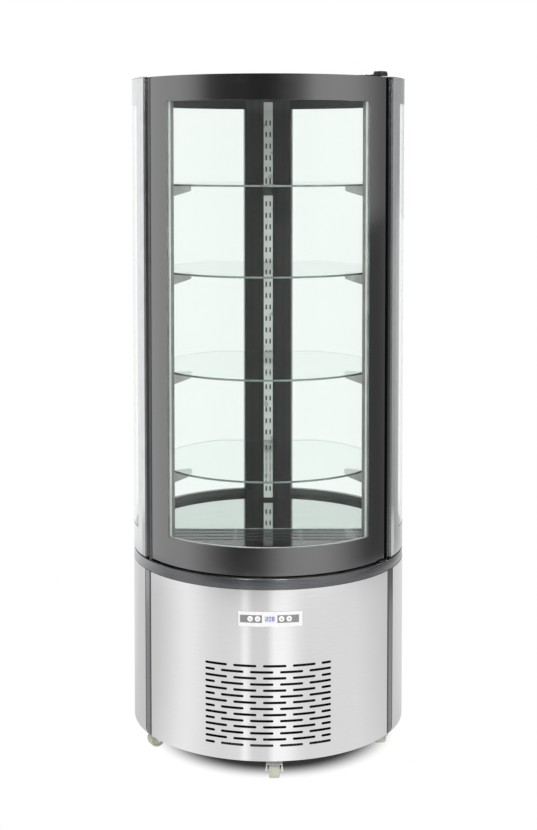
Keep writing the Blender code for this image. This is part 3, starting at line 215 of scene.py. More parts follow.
def dress_shader(
    tree: Tree, shader: bpy.types.Node, colour: Socket, roughness: Socket, height: Socket, relief: Pair,
) -> None:
    """Feed a shader's colour, roughness and normal.

    Args:
        tree: node tree that holds the shader.
        shader: shader that is fed.
        colour: its colour.
        roughness: its roughness.
        height: height of its relief, from zero to one.
        relief: real depth of the relief in millimetres, and the share of the bump that is used.
    """
    settings = {"Strength": relief[1], "Distance": relief[0] * MM}
    bump = add_node(tree, "ShaderNodeBump", settings, {"Height": height})
    for key, source in (("Base Color", colour), ("Roughness", roughness), ("Normal", bump.outputs["Normal"])):
        tree.links.new(source, shader.inputs[key])


@dataclass(frozen=True)
class BrushedSteel:
    """Stainless sheet with a linear brush finish: long fine lines that stretch each reflection."""

    name: str
    dark: str
    light: str
    roughness: Pair
    anisotropic: float = 0.75
    turn: float = 0.25
    bump: float = 0.03
    grain: Grain = Grain.AROUND
    line_mm: float = 0.9
    length_mm: float = 70.0
    # painted sheen: the lighter grey that the colour turns to where the sheet is seen edge-on
    painted_glancing_sheen: str | None = None
    painted_sheen_reach: Pair = (0.38, 0.78)

    def build(self) -> bpy.types.Material:
        """Make the material. Its lines are drawn wider than the real 0.1 mm, so that they show."""
        material, tree, shader = start_finish(self.name, {
            "Metallic": 1.0, "Base Color": linear(self.light), "Anisotropic": self.anisotropic,
            "Anisotropic Rotation": self.turn,
        })
        lines = place_on_surface(tree, self.grain, self.length_mm, self.line_mm)
        tone = vary(tree, lines, 3.0)
        tones = {"data_type": "RGBA", 6: linear(self.dark), 7: linear(self.light)}
        colour = add_node(tree, "ShaderNodeMix", tones, {0: tone}).outputs[2]
        # Painted sheen: towards a grazing view the base colour is mixed with a lighter grey.
        if self.painted_glancing_sheen:
            weight = add_node(tree, "ShaderNodeLayerWeight", {"Blend": 0.5})
            reach = {"From Min": self.painted_sheen_reach[0], "From Max": self.painted_sheen_reach[1]}
            share = add_node(tree, "ShaderNodeMapRange", reach, {"Value": weight.outputs["Facing"]})
            tones = {"data_type": "RGBA", 7: linear(self.painted_glancing_sheen)}
            colour = add_node(tree, "ShaderNodeMix", tones, {0: share.outputs["Result"], 6: colour}).outputs[2]
        dress_shader(tree, shader, colour, vary(tree, lines, 2.0, *self.roughness), tone, (0.02, self.bump))
        return material


@dataclass(frozen=True)
class EnamelledGlass:
    """Black ceramic enamel fired on coated glass: a dark mirror with faint wipe marks."""

    name: str
    colour: str = "#070708"
    ior: float = 2.7
    roughness: Pair = (0.07, 0.11)
    wipe_mm: Pair = (60.0, 25.0)
    clear: float = 0.0

    def build(self) -> bpy.types.Material:
        """Make the material. The coating under the enamel doubles its reflection, hence the IOR."""
        material, tree, shader = start_finish(self.name, {
            "Base Color": linear(self.colour), "Transmission Weight": self.clear, "IOR": self.ior,
        })
        wipe = place_on_surface(tree, Grain.ACROSS, *self.wipe_mm)
        tree.links.new(vary(tree, wipe, 4.0, *self.roughness), shader.inputs["Roughness"])
        return material


@dataclass(frozen=True)
class ClearGlass(EnamelledGlass):
    """Tempered float glass: clear, with a slight green cast and faint wipe marks.

    One looks through four panes, whose faces lose less light at this IOR than at the real one.
    """

    colour: str = "#fcfefd"
    ior: float = 1.12
    roughness: Pair = (0.0, 0.012)
    wipe_mm: Pair = (90.0, 45.0)
    clear: float = 1.0


@dataclass(frozen=True)
class PaintedMetal:
    """Sheet metal or extrusion with a powder coat: an even colour under a fine orange peel."""

    name: str
    dark: str
    light: str
    roughness: Pair
    grit_mm: float = 1.6
    bump: float = 0.12
    metallic: float = 0.0
    ior: float = 1.5
    cloud_mm: float = 35.0
    depth_mm: float = 0.03
    details: Pair = (5.0, 1.0)

    def build(self) -> bpy.types.Material:
        """Make the material: two near tones in soft clouds, over a relief of grit."""
        material, tree, shader = start_finish(self.name, {
            "Base Color": linear(self.light), "Metallic": self.metallic, "IOR": self.ior,
        })
        cloud, grit = (
            place_on_surface(tree, Grain.ACROSS, size, size) for size in (self.cloud_mm, self.grit_mm)
        )
        tones = {"data_type": "RGBA", 6: linear(self.dark), 7: linear(self.light)}
        colour = add_node(tree, "ShaderNodeMix", tones, {0: vary(tree, cloud, 3.0)}).outputs[2]
        roughness = vary(tree, cloud, self.details[0], *self.roughness)
        height = vary(tree, grit, self.details[1])
        dress_shader(tree, shader, colour, roughness, height, (self.depth_mm, self.bump))
        return material


@dataclass(frozen=True)
class MouldedPlastic(PaintedMetal):
    """Injection-moulded plastic or rubber: a fine spark-eroded texture under a soft sheen.

    It is layered as PaintedMetal is, with the scales and the depth of a moulded surface.
    """

    grit_mm: float = 0.7
    bump: float = 0.25
    cloud_mm: float = 12.0
    depth_mm: float = 0.05
    details: Pair = (4.0, 2.0)


@dataclass(frozen=True)
class LitDiffuser:
    """Milky plastic with light behind it: a soft glow that varies a little along its length."""

    name: str
    colour: str
    strength: float
    base: str = "#d8d8d4"
    roughness: Pair = (0.35, 0.5)
    cloud_mm: Pair = (20.0, 8.0)

    def build(self) -> bpy.types.Material:
        """Make the material."""
        material, tree, shader = start_finish(self.name, {
            "Base Color": linear(self.base), "Emission Color": linear(self.colour),
            "Emission Strength": self.strength,
        })
        cloud = place_on_surface(tree, Grain.ACROSS, *self.cloud_mm)
        tree.links.new(vary(tree, cloud, 2.0, *self.roughness), shader.inputs["Roughness"])
        return material


class Form:
    """Mesh in the making: shapes are added to it, and then it becomes one piece."""

    def __init__(self) -> None:
        """Start an empty mesh whose faces may be marked as lying on a cylinder about the case's axis."""
        self.mesh = bmesh.new()
        self.radial = self.mesh.faces.layers.int.new("radial")

    def face(self, corners: Sequence, finish: int = 0, radial: int = 0) -> None:
        """Add a face.

        Args:
            corners: its vertices.
            finish: number of its finish.
            radial: 1 where it faces out from the case's axis, -1 where it faces the axis, or 0.
        """
        face = self.mesh.faces.new(corners)
        face.material_index = finish
        face[self.radial] = radial

    def row(self, spots: Iterable[Vector]) -> list[bmesh.types.BMVert]:
        """Add a row of vertices."""
        return [self.mesh.verts.new(spot) for spot in spots]

    def join(self, low: Sequence, high: Sequence, finish: int = 0) -> None:
        """Join two closed rows of vertices, one of which may be a single point.

        Args:
            low: one row.
            high: the other row.
            finish: finish number of the faces between them.
        """
        count = max(len(low), len(high))
        for k in range(count):
            n = (k + 1) % count
            spots = (low[k % len(low)], low[n % len(low)], high[n % len(high)], high[k % len(high)])
            self.face(list(dict.fromkeys(spots)), finish)

    def panel(
        self, radii: Pair, degrees: Sequence[float], levels: Sequence[float],
        is_solid: Callable[[int, int], bool] | None = None, finishes: tuple[int, int, int] = (0, 0, 0),
    ) -> "Form":
        """Add a curved panel on a lattice whose cells may be left open.

        Args:
            radii: inner and outer radius.
            degrees: angles of the lattice.
            levels: heights of the lattice.
            is_solid: says whether the cell in a column and a row is there.
            finishes: finish numbers of the inner face, the outer face and the edges.

        Returns:
            The form itself.
        """
        across, up = len(degrees) - 1, len(levels) - 1
        corners: dict = {}

        def solid(i: int, j: int) -> bool:
            """Say whether a cell of the lattice is there."""
            return 0 <= i < across and 0 <= j < up and (is_solid is None or is_solid(i, j))

        def corner(spot: tuple[int, int], side: int) -> bmesh.types.BMVert:
            """Vertex at a lattice point, made when it is first asked for."""
            if (spot, side) not in corners:
                corners[spot, side] = self.mesh.verts.new(polar(radii[side], degrees[spot[0]], levels[spot[1]]))
            return corners[spot, side]

        for i, j in ((i, j) for i in range(across) for j in range(up) if solid(i, j)):
            ring = [(i, j), (i + 1, j), (i + 1, j + 1), (i, j + 1)]
            beyond = [(i, j - 1), (i + 1, j), (i, j + 1), (i - 1, j)]
            for side in (0, 1):
                self.face([corner(spot, side) for spot in ring], finishes[side], 2 * side - 1)
            for (here, there), other in zip(around(ring), beyond):
                if not solid(*other):
                    walls = [corner(here, 0), corner(there, 0), corner(there, 1), corner(here, 1)]
                    self.face(walls, finishes[2])
        return self

    def window(self, radii: Pair, degrees: Pair, levels: Pair, gap_degrees: Pair, gap_levels: Pair) -> "Form":
        """Add a curved panel with one rectangular opening.

        Args:
            radii: inner and outer radius.
            degrees: angles of its two ends.
            levels: its lowest and highest height.
            gap_degrees: angles of the opening's ends.
            gap_levels: heights of the opening.

        Returns:
            The form itself.
        """
        columns = arc(degrees[0], gap_degrees[0]) + arc(*gap_degrees)[1:] + arc(gap_degrees[1], degrees[1])[1:]

        def outside(i: int, j: int) -> bool:
            """Say whether a cell lies outside the opening."""
            return not (gap_degrees[0] < (columns[i] + columns[i + 1]) / 2 < gap_degrees[1] and j == 1)

        return self.panel(radii, columns, [levels[0], *gap_levels, levels[1]], outside)

    def sweep(self, profile: Outline, degrees: Sequence[float], ring: bool = False, finish: int = 0) -> "Form":
        """Sweep a closed profile about the case's axis.

        Args:
            profile: points as radius and height.
            degrees: angles of the sweep's steps.
            ring: whether the sweep closes on itself.
            finish: finish number of its faces.

        Returns:
            The form itself.
        """
        steps = degrees[:-1] if ring else degrees
        rows = [self.row(polar(r, a, z) for r, z in profile) for a in steps]
        for here, there in around(rows) if ring else zip(rows, rows[1:]):
            self.join(here, there, finish)
        for end in () if ring else (rows[0], rows[-1]):
            self.face(end, finish)
        return self

    def turned(self, profile: Outline, steps: int, spin: Matrix = STILL) -> "Form":
        """Turn a profile about the Z axis and then move it.

        Args:
            profile: points as radius and height; it closes on itself unless both ends have radius zero.
            steps: steps of the turn.
            spin: matrix that moves the turned form.

        Returns:
            The form itself.
        """
        rows = []
        for radius, z in profile:
            count = steps if radius else 1
            rows.append(self.row(spin @ polar(radius, 360.0 * k / count, z) for k in range(count)))
        closed = profile[0][0] or profile[-1][0]
        for low, high in around(rows) if closed else zip(rows, rows[1:]):
            self.join(low, high)
        return self

    def prism(
        self, outline: Outline, low: float, high: float, spin: Matrix = STILL, finish: int = 0,
        rim: int | None = None,
    ) -> "Form":
        """Add a prism over an outline in plan and then move it.

        Args:
            outline: points as x and y.
            low: height of its foot.
            high: height of its top.
            spin: matrix that moves the prism.
            finish: finish number of its faces.
            rim: finish number of the faces round it, where that is another.

        Returns:
            The form itself.
        """
        foot, top = (self.row(spin @ Vector((x, y, z)) for x, y in outline) for z in (low, high))
        self.face(foot, finish)
        self.face(top, finish)
        self.join(foot, top, finish if rim is None else rim)
        return self

    def block(self, low: Triple, high: Triple, spin: Matrix) -> "Form":
        """Add a box between two corners and then move it."""
        outline = [(low[0], low[1]), (high[0], low[1]), (high[0], high[1]), (low[0], high[1])]
        return self.prism(outline, low[2], high[2], spin)

    def bar(self, radius: float, start: Sequence[float], end: Sequence[float], steps: int, edge: float = 0.0) -> "Form":
        """Add a round bar between two points.

        Args:
            radius: radius of the bar.
            start: its first end.
            end: its other end.
            steps: sides of the bar.
            edge: size of the chamfer at its ends.

        Returns:
            The form itself.
        """
        spin, long = aimed(start, end)
        sides = [(radius, 0), (radius, long)]
        if edge:
            sides = [(radius - edge, 0), (radius, edge), (radius, long - edge), (radius - edge, long)]
        return self.turned([(0, 0), *sides, (0, long)], steps, spin)

    def pierced(
        self, outline: Outline, holes: Sequence[Outline], place: Callable[[float, float, int], Vector],
        folds: Sequence[tuple[Pair, Pair]] = (), radial: int = 0,
    ) -> "Form":
        """Add a sheet with holes that are punched through it.

        Args:
            outline: edge of the sheet, flattened.
            holes: outlines of the holes, flattened.
            place: spot of a flattened point on the back (0) or the front (1) of the sheet.
            folds: lines from edge to edge that the sheet is bent at.
            radial: 1 where the front faces out from the case's axis, or 0 for a flat sheet.

        Returns:
            The form itself.
        """
        points: list[Vector] = []
        edges: list[tuple[int, int]] = []
        for loop in (outline, *folds, *holes):
            numbers = range(len(points), len(points) + len(loop))
            edges.extend(around(numbers) if len(loop) > 2 else [tuple(numbers)])
            points.extend(Vector(p) for p in loop)
        spots, _, cells, *_ = delaunay_2d_cdt(points, edges, [], 0, 1e-7)
        boxes = [[(min(side), max(side)) for side in zip(*hole)] for hole in holes]
        kept = []
        for cell in cells:
            x, z = (sum(spots[k][axis] for k in cell) / 3 for axis in (0, 1))
            near = (h for h, (xs, zs) in zip(holes, boxes) if xs[0] < x < xs[1] and zs[0] < z < zs[1])
            if not any(holds(hole, (x, z)) for hole in near) and holds(outline, (x, z)):
                kept.append(cell)
        back, front = (
            {k: self.mesh.verts.new(place(*spots[k], side)) for cell in kept for k in cell} for side in (0, 1)
        )
        uses: dict = {}
        for cell in kept:
            self.face([front[k] for k in cell], 0, radial)
            self.face([back[k] for k in reversed(cell)], 0, -radial)
            for pair in around(cell):
                uses.setdefault(frozenset(pair), []).append(pair)
        for a, b in (used[0] for used in uses.values() if len(used) == 1):
            self.face([front[a], front[b], back[b], back[a]])
        return self

    def bent_sheet(self, radii: Pair, degrees: Pair, levels: Pair, holes: Sequence[Outline]) -> "Form":
        """Add a sheet bent about the case's axis, with holes.

        Args:
            radii: inner and outer radius.
            degrees: angles of its two ends.
            levels: its lowest and highest height.
            holes: outlines as distance along the outer face from the middle of the door, and height.

        Returns:
            The form itself.
        """
        columns = [math.radians(a) * radii[1] for a in arc(*degrees)]
        outline = [(s, levels[0]) for s in columns] + [(s, levels[1]) for s in reversed(columns)]
        folds = [((s, levels[0]), (s, levels[1])) for s in columns[1:-1]]

        def place(s: float, z: float, side: int) -> Vector:
            """Spot of a flattened point on the bent sheet."""
            return polar(radii[side], math.degrees(s / radii[1]), z)

        return self.pierced(outline, holes, place, folds, 1)

    def piece(
        self, name: str, finishes: Sequence[bpy.types.Material], slot: str, body: str = "cabinet",
        replaces: Sequence[str] = (), rounding: float = 0.0, sharp_deg: float = SHARP_DEG,
    ) -> None:
        """Turn the form into a piece of the case.

        Args:
            name: name of the piece.
            finishes: materials, in the order of their numbers.
            slot: material slot of the record; not used.
            body: body that the piece rides on.
            replaces: CAD nodes that the piece stands for.
            rounding: width of the rounding on sharp edges.
            sharp_deg: angle above which an edge stays sharp.
        """
        bmesh.ops.recalc_face_normals(self.mesh, faces=self.mesh.faces)
        mesh = bpy.data.meshes.new(name)
        self.mesh.to_mesh(mesh)
        self.mesh.free()
        for finish in finishes:
            mesh.materials.append(finish)
        mesh.shade_smooth()
        mesh.set_sharp_from_angle(angle=math.radians(sharp_deg))
        marks = mesh.attributes["radial"].data
        if any(mark.value for mark in marks):
            normals = [tuple(n.vector) for n in mesh.corner_normals]
            for polygon in mesh.polygons:
                sign = marks[polygon.index].value
                for k in polygon.loop_indices if sign else ():
                    spot = mesh.vertices[mesh.loops[k].vertex_index].co
                    normals[k] = tuple(Vector((spot.x, spot.y, 0)).normalized() * sign)
            mesh.normals_split_custom_set(normals)
        mesh.attributes.remove(mesh.attributes["radial"])
        item = put(name, mesh)
        if rounding:
            bevel = item.modifiers.new("rounding", "BEVEL")
            bevel.width, bevel.segments, bevel.limit_method = rounding, 2, "ANGLE"
            bevel.angle_limit = math.radians(sharp_deg)
            bevel.harden_normals = True
        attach(item, body)
        if replaces:
            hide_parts(*replaces)
        LOG.info("built %s on %s", name, body)


def put(name: str, data: bpy.types.ID) -> bpy.types.Object:
    """Add an object to the scene.

    Args:
        name: name of the object.
        data: its mesh, lamp or camera.

    Returns:
        The object.
    """
    item = bpy.data.objects.new(name, data)
    bpy.context.scene.collection.objects.link(item)
    return item


def around(items: Sequence) -> Iterable[tuple]:
    """Neighbours in a closed row, as pairs."""
    return zip(items, [*items[1:], items[0]])


def polar(radius: float, degrees: float, z: float = 0.0) -> Vector:
    """Point at a radius and an angle from the middle of the door."""
    angle = math.radians(degrees)
    return Vector((radius * math.sin(angle), -radius * math.cos(angle), z))


def arc(start: float, end: float, step: float = FINE_STEP_DEG) -> list[float]:
    """Angles in even steps from start to end, both included."""
    count = max(1, math.ceil(abs(end - start) / step))
    return [start + (end - start) * k / count for k in range(count + 1)]


def arc_outline(radius: float, start: float, end: float) -> list[Pair]:
    """Points of an arc in plan, as x and y."""
    return [tuple(polar(radius, a).xy) for a in arc(start, end)]


def degrees_of(length: float, radius: float) -> float:
    """Angle in degrees that a length takes up on a radius."""
    return math.degrees(length / radius)


def mirrored(right: Outline) -> list[Pair]:
    """Close the right half of an outline with its mirror image."""
    return [*right, *((-x, y) for x, y in reversed(right) if x > 1e-9)]


def aimed(start: Sequence[float], end: Sequence[float]) -> tuple[Matrix, float]:
    """Matrix that stands a form on start, towards end, and the way between the two."""
    run = Vector(end) - Vector(start)
    return Matrix.Translation(start) @ run.to_track_quat("Z", "Y").to_matrix().to_4x4(), run.length


def holds(outline: Outline, point: Pair) -> bool:
    """Say whether a point lies within an outline.

    Args:
        outline: points of the outline.
        point: the point.

    Returns:
        Whether a line from the point crosses the outline an odd number of times.
    """
    inside = False
    for (xa, za), (xb, zb) in around(outline):
        if (za > point[1]) != (zb > point[1]) and point[0] < (xb - xa) * (point[1] - za) / (zb - za) + xa:
            inside = not inside
    return inside


def stadium(centre: Pair, length: float, height: float, steps: int = 6) -> list[Pair]:
    """Outline of a round-ended slot.

    Args:
        centre: its middle, along the sheet and up.
        length: its whole length.
        height: its height.
        steps: steps of each round end.

    Returns:
        Points of the outline.
    """
    reach = (length - height) / 2
    turns = [math.pi * (k / steps - 0.5) for k in range(steps + 1)]
    return [(
        centre[0] + side * (reach + height / 2 * math.cos(turn)), centre[1] + side * height / 2 * math.sin(turn),
    ) for side in (1, -1) for turn in turns]


def rounded_box(width: float, height: float, radius: float, centre: Pair = (0.0, 0.0), steps: int = 4) -> list[Pair]:
    """Outline of a rectangle with round corners.

    Args:
        width: its width.
        height: its height.
        radius: radius of its corners.
        centre: its middle.
        steps: steps of each corner.

    Returns:
        Points of the outline.
    """
    corners = ((0, 1, 1), (1, -1, 1), (2, -1, -1), (3, 1, -1))
    turns = [(math.pi / 2 * (quarter + k / steps), sx, sy) for quarter, sx, sy in corners for k in range(steps + 1)]
    return [(
        centre[0] + sx * (width / 2 - radius) + radius * math.cos(turn),
        centre[1] + sy * (height / 2 - radius) + radius * math.sin(turn),
    ) for turn, sx, sy in turns]


def rounded_profile(radii: Pair, levels: Pair, radius: float) -> list[Pair]:
    """Profile of a swept bar with round corners, as radius and height."""
    middle = ((radii[0] + radii[1]) / 2, (levels[0] + levels[1]) / 2)
    return rounded_box(radii[1] - radii[0], levels[1] - levels[0], radius, middle, 3)


def turn_to(degrees: float) -> Matrix:
    """Matrix that turns a form at the front to an angle round the case."""
    return Matrix.Rotation(math.radians(degrees), 4, "Z")


def levels_of(node: str) -> Pair:
    """Lowest and highest height of a CAD node."""
    low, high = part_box(node)
    return low.z, high.z


def angles_of(node: str) -> Pair:
    """Smallest and largest angle of a CAD node from the middle of the door, on its own side."""
    angles = [abs(math.degrees(math.atan2(v.co.x, -v.co.y))) for v in frame["nodes"][node].data.vertices]
    return min(angles), max(angles)


def wedge(front: float, reach: float, root: float, tip: float, top: float) -> list[Pair]:
    """Side outline of a shelf bracket that tapers from its root, as y and z."""
    end, corner = front + reach, 0.002
    return [(front, top), (front, top - root), (end - corner, top - tip), (end, top - tip + corner), (end, top)]


class Finishes:
    """Materials of the case, by the name of what they are."""

    def __init__(self) -> None:
        """Make each material once."""
        self.skirt = BrushedSteel(
            "brushed_stainless_skirt", "#f1f1f1", "#f9f9f9", (0.10, 0.14), anisotropic=0.7, bump=0.01
        ).build()
        # The collar has a painted sheen: its colour turns lighter grey where it is seen at a grazing angle.
        self.ring = BrushedSteel(
            "brushed_dark_collar", "#656668", "#7f8082", (0.24, 0.34), line_mm=1.2, painted_glancing_sheen="#b0b1b3"
        ).build()
        self.strip = BrushedSteel(
            "brushed_grey_strip", "#8d8e90", "#a3a4a6", (0.25, 0.34), grain=Grain.UP, anisotropic=0.0
        ).build()
        self.rail = PaintedMetal(
            "bright_plated_rail", "#9c9e9b", "#aaaca9", (0.25, 0.35), metallic=0.35, bump=0.02
        ).build()
        self.enamel = EnamelledGlass("black_enamelled_glass").build()
        self.glass = ClearGlass("clear_tempered_glass").build()
        self.front_glass = ClearGlass("clear_front_glass", ior=1.25).build()
        self.shelf = ClearGlass("clear_shelf_glass", "#f8fcfa", 1.4).build()
        self.edge = PaintedMetal("ground_glass_edge", "#4b5552", "#64706c", (0.15, 0.25), bump=0.0).build()
        self.inner_border = EnamelledGlass("dark_inner_border", "#484b49", 1.6, (0.08, 0.14)).build()
        self.silver = PaintedMetal(
            "silver_enamelled_glass", "#d4d6d7", "#dfe1e2", (0.16, 0.22), metallic=0.85, bump=0.02
        ).build()
        self.cap = PaintedMetal("silver_roof_sheet", "#c6c9ca", "#d0d3d4", (0.3, 0.38), metallic=0.7, bump=0.05).build()
        self.spacer = PaintedMetal("anodised_spacer_bar", "#c9ccca", "#d8dbd9", (0.3, 0.4), metallic=0.7).build()
        self.spacer_back = PaintedMetal("dull_spacer_foot", "#5c5e5a", "#686a66", (0.4, 0.5), metallic=0.2).build()
        self.black = PaintedMetal("black_powder_coat", "#101011", "#171718", (0.22, 0.30), ior=1.6).build()
        self.ceiling = PaintedMetal(
            "glossy_black_liner", "#0d0f0e", "#131514", (0.06, 0.10), bump=0.0, ior=1.9
        ).build()
        self.column = PaintedMetal(
            "dark_enamelled_column", "#111312", "#191b1a", (0.10, 0.16), bump=0.02, ior=1.3
        ).build()
        self.louvre = EnamelledGlass("glossy_black_plastic", "#0b0b0c", 1.55, (0.05, 0.09)).build()
        self.upright = EnamelledGlass("black_anodised_upright", "#0c0c0d", 1.47, (0.16, 0.22)).build()
        self.latch = PaintedMetal("dark_grey_edge_strip", "#4b4b4c", "#565657", (0.3, 0.4), ior=1.4).build()
        self.bracket = PaintedMetal("grey_bracket", "#8b8e8c", "#a2a5a3", (0.3, 0.4), metallic=0.6).build()
        self.rubber = MouldedPlastic("black_rubber", "#141415", "#1d1d1e", (0.6, 0.75)).build()
        self.zinc = PaintedMetal(
            "bright_zinc_plate", "#e4e7e8", "#f2f4f4", (0.18, 0.28), metallic=0.5, bump=0.02
        ).build()
        self.nylon = MouldedPlastic("cream_nylon", "#b8b8a6", "#c6c6b5", (0.35, 0.45)).build()
        self.panel = MouldedPlastic("satin_white_overlay", "#dfdfdf", "#e8e8e8", (0.3, 0.38), 0.4, 0.08).build()
        self.segment = MouldedPlastic("printed_grey_overlay", "#7b7b7b", "#898989", (0.3, 0.38), 0.4, 0.08).build()
        self.button = MouldedPlastic("white_push_button", "#e9e9ea", "#f4f4f5", (0.25, 0.32), 0.5, 0.05).build()
        self.lens = MouldedPlastic("smoked_display_lens", "#d2d2e0", "#dedeea", (0.1, 0.16), 0.5, 0.0).build()
        self.digit = LitDiffuser("lit_blue_segment", "#433ab4", 0.55, "#2f2a86").build()
        self.lamp = LitDiffuser("led_diffuser", "#ffffff", 6.0).build()
        # Painted shade: the aluminium fins are coloured dark grey so that the space behind the grille slots reads dark.
        self.shaded_fin = BrushedSteel(
            "shaded_aluminium_fin", "#3a3c3e", "#4a4c4e", (0.4, 0.5), grain=Grain.UP, anisotropic=0.0, line_mm=1.5,
            length_mm=20.0,
        ).build()
        self.compressor = PaintedMetal("black_compressor_paint", "#121213", "#1c1c1d", (0.35, 0.5), bump=0.25).build()
        self.fan = MouldedPlastic("black_fan_plastic", "#151516", "#1f1f20", (0.4, 0.55)).build()
        self.liner = MouldedPlastic("grey_floor_liner", "#5c6160", "#6a6f6d", (0.25, 0.35), 0.6, 0.03).build()
        self.deck = BrushedSteel(
            "mirror_polished_deck", "#c6cecb", "#ced5d2", (0.02, 0.05), grain=Grain.ACROSS, anisotropic=0.0,
            line_mm=30.0, bump=0.0,
        ).build()


@dataclass
class Skirt:
    """Stainless skirt: front panel with the slotted grille, rear panel with vents, strips between them."""

    finishes: Finishes
    radius: float = BODY_RADIUS
    sheet: float = 0.0015
    post_deg: float = 60.0
    turn_deg: float = 0.9
    strip_width: float = 0.026
    strip_band: float = 0.006
    strip_depth: float = 0.0025
    foot_depth: float = 0.0014
    band_gap_deg: float = 0.02
    channel_half: float = 0.020
    channel_depth: float = 0.030
    groove: float = 0.003
    screw_radius: float = 0.0032
    screw_inset: float = 0.022
    grille_width: float = 0.314
    grille_rows: int = 14
    row_pitch: float = 0.0149
    grille_bottom: float = 0.0385
    slot_length: float = 0.0568
    slot_bridge: float = 0.0153
    slot_height: float = 0.0060
    panel_width: float = 0.157
    panel_height: float = 0.037
    panel_drop: float = 0.0515
    vent_length: float = 0.090
    vent_bridge: float = 0.030
    vent_height: float = 0.007
    vent_rows: int = 6
    vent_pitch: float = 0.022
    vent_bottom: float = 0.180
    cable_deg: float = 158.0
    cable_rise: float = 0.050
    cable_radius: float = 0.008
    bush_ends: Pair = (0.008, 0.0005)

    def grille_slots(self, low: float) -> list[list[Pair]]:
        """Outlines of the grille's slots, whose short ones change sides from row to row.

        Args:
            low: height of the skirt's foot.

        Returns:
            An outline for each slot.
        """
        half = self.grille_width / 2
        holes = []
        for row in range(self.grille_rows):
            z = low + self.grille_bottom + self.row_pitch * (self.grille_rows - 1 - row)
            hand = 1 if row % 2 == 0 else -1
            start = -half
            while half - start > 2 * self.slot_height:
                end = min(start + self.slot_length, half)
                holes.append(stadium((hand * (start + end) / 2, z), end - start, self.slot_height))
                start = end + self.slot_bridge
        return holes

    def build(self) -> None:
        """Build the skirt panels, the bush of the cable hole and the strips."""
        levels = levels_of("skirt_front")
        edge = degrees_of(self.strip_width / 2 + self.groove, self.radius)
        top = levels[1] + GAP - self.panel_drop
        middle = (math.radians(self.turn_deg) * self.radius, top - self.panel_height / 2)
        cable = (math.radians(self.cable_deg) * self.radius, levels[0] + self.cable_rise)
        vents = [
            stadium((
                math.pi * self.radius + side * (self.vent_length + self.vent_bridge),
                levels[0] + self.vent_bottom + row * self.vent_pitch,
            ), self.vent_length, self.vent_height) for side in (-0.5, 0.5) for row in range(self.vent_rows)
        ]
        vents.append(stadium(cable, 2.001 * self.cable_radius, 2 * self.cable_radius, 10))
        opening = rounded_box(self.panel_width, self.panel_height, 0.002, middle)
        near, far = self.post_deg - edge, self.post_deg + edge
        for name, span, holes in (
            ("front", (-near, near), [opening, *self.grille_slots(levels[0])]), ("rear", (far, 360.0 - far), vents),
        ):
            degrees = (self.turn_deg + span[0], self.turn_deg + span[1])
            Form().bent_sheet((self.radius - self.sheet, self.radius), degrees, levels, holes).piece(
                f"skirt_{name}_panel", [self.finishes.skirt], "stainless", replaces=[f"skirt_{name}"]
            )
        spin, long = aimed(*(polar(self.radius - depth, self.cable_deg, cable[1]) for depth in self.bush_ends))
        side = self.cable_radius - 0.0008
        Form().turned([
            (0.0045, 0), (side, 0), (side, long - 0.001), (0.0072, long), (0.0052, long), (0.0045, long - 0.0012),
        ], 32, spin).piece("cable_outlet_bush", [self.finishes.rubber], "rubber")
        for name, side in SIDES:
            self.build_strip(name, side)

    def build_strip(self, name: str, side: int) -> None:
        """Build the strip between two skirt panels, with a dark front edge, its foot and two screws.

        Args:
            name: left or right.
            side: -1 or 1.
        """
        node = f"base_post_{name}"
        levels = levels_of(node)
        under = (levels_of("skirt_front")[0], levels[0] - GAP)
        middle = self.turn_deg + side * self.post_deg
        half = degrees_of(self.strip_width / 2, self.radius)
        channel = degrees_of(self.channel_half, self.radius)
        split = middle - side * (half - degrees_of(self.strip_band, self.radius))
        form, foot, screws = Form(), Form(), Form()
        for finish, near, far in (
            (0, split, middle + side * half), (1, middle - side * half, split - side * self.band_gap_deg),
        ):
            run = arc(*sorted((near, far)), 0.7)
            for shape, depth, rows, edge in (
                (form, self.strip_depth, levels, 0.0006), (foot, self.foot_depth, under, 0.0005),
            ):
                shape.sweep(rounded_profile((self.radius - depth, self.radius), rows, edge), run, finish=finish)
        radii = (self.radius - self.channel_depth, self.radius - self.strip_depth - GAP)
        form.panel(radii, arc(middle - channel, middle + channel), levels, finishes=(2, 2, 2))
        tones = [self.finishes.strip, self.finishes.latch, self.finishes.black]
        form.piece(f"base_strip_{name}", tones, "ring_steel", replaces=[node])
        foot.piece(f"strip_foot_{name}", tones[:2], "ring_steel")
        for z in (levels[0] + self.screw_inset, levels[1] - self.screw_inset):
            ends = [polar(self.radius - depth, middle, z) for depth in (0.003, 0.0001)]
            screws.bar(self.screw_radius, *ends, 20, 0.0005)
        screws.piece(f"strip_screws_{name}", [self.finishes.zinc], "zinc")


@dataclass
class Collar:
    """Dark collar between the skirt and the glass cabinet, with rounded edges."""

    finishes: Finishes
    outer: float = 0.349
    depth: float = 0.037
    rounding: float = 0.0009

    def build(self) -> None:
        """Build the ring."""
        profile = rounded_profile((self.outer - self.depth, self.outer), levels_of("collar_ring"), self.rounding)
        Form().sweep(profile, arc(0.0, 360.0), ring=True).piece(
            "collar", [self.finishes.ring], "ring_steel", replaces=["collar_ring"]
        )


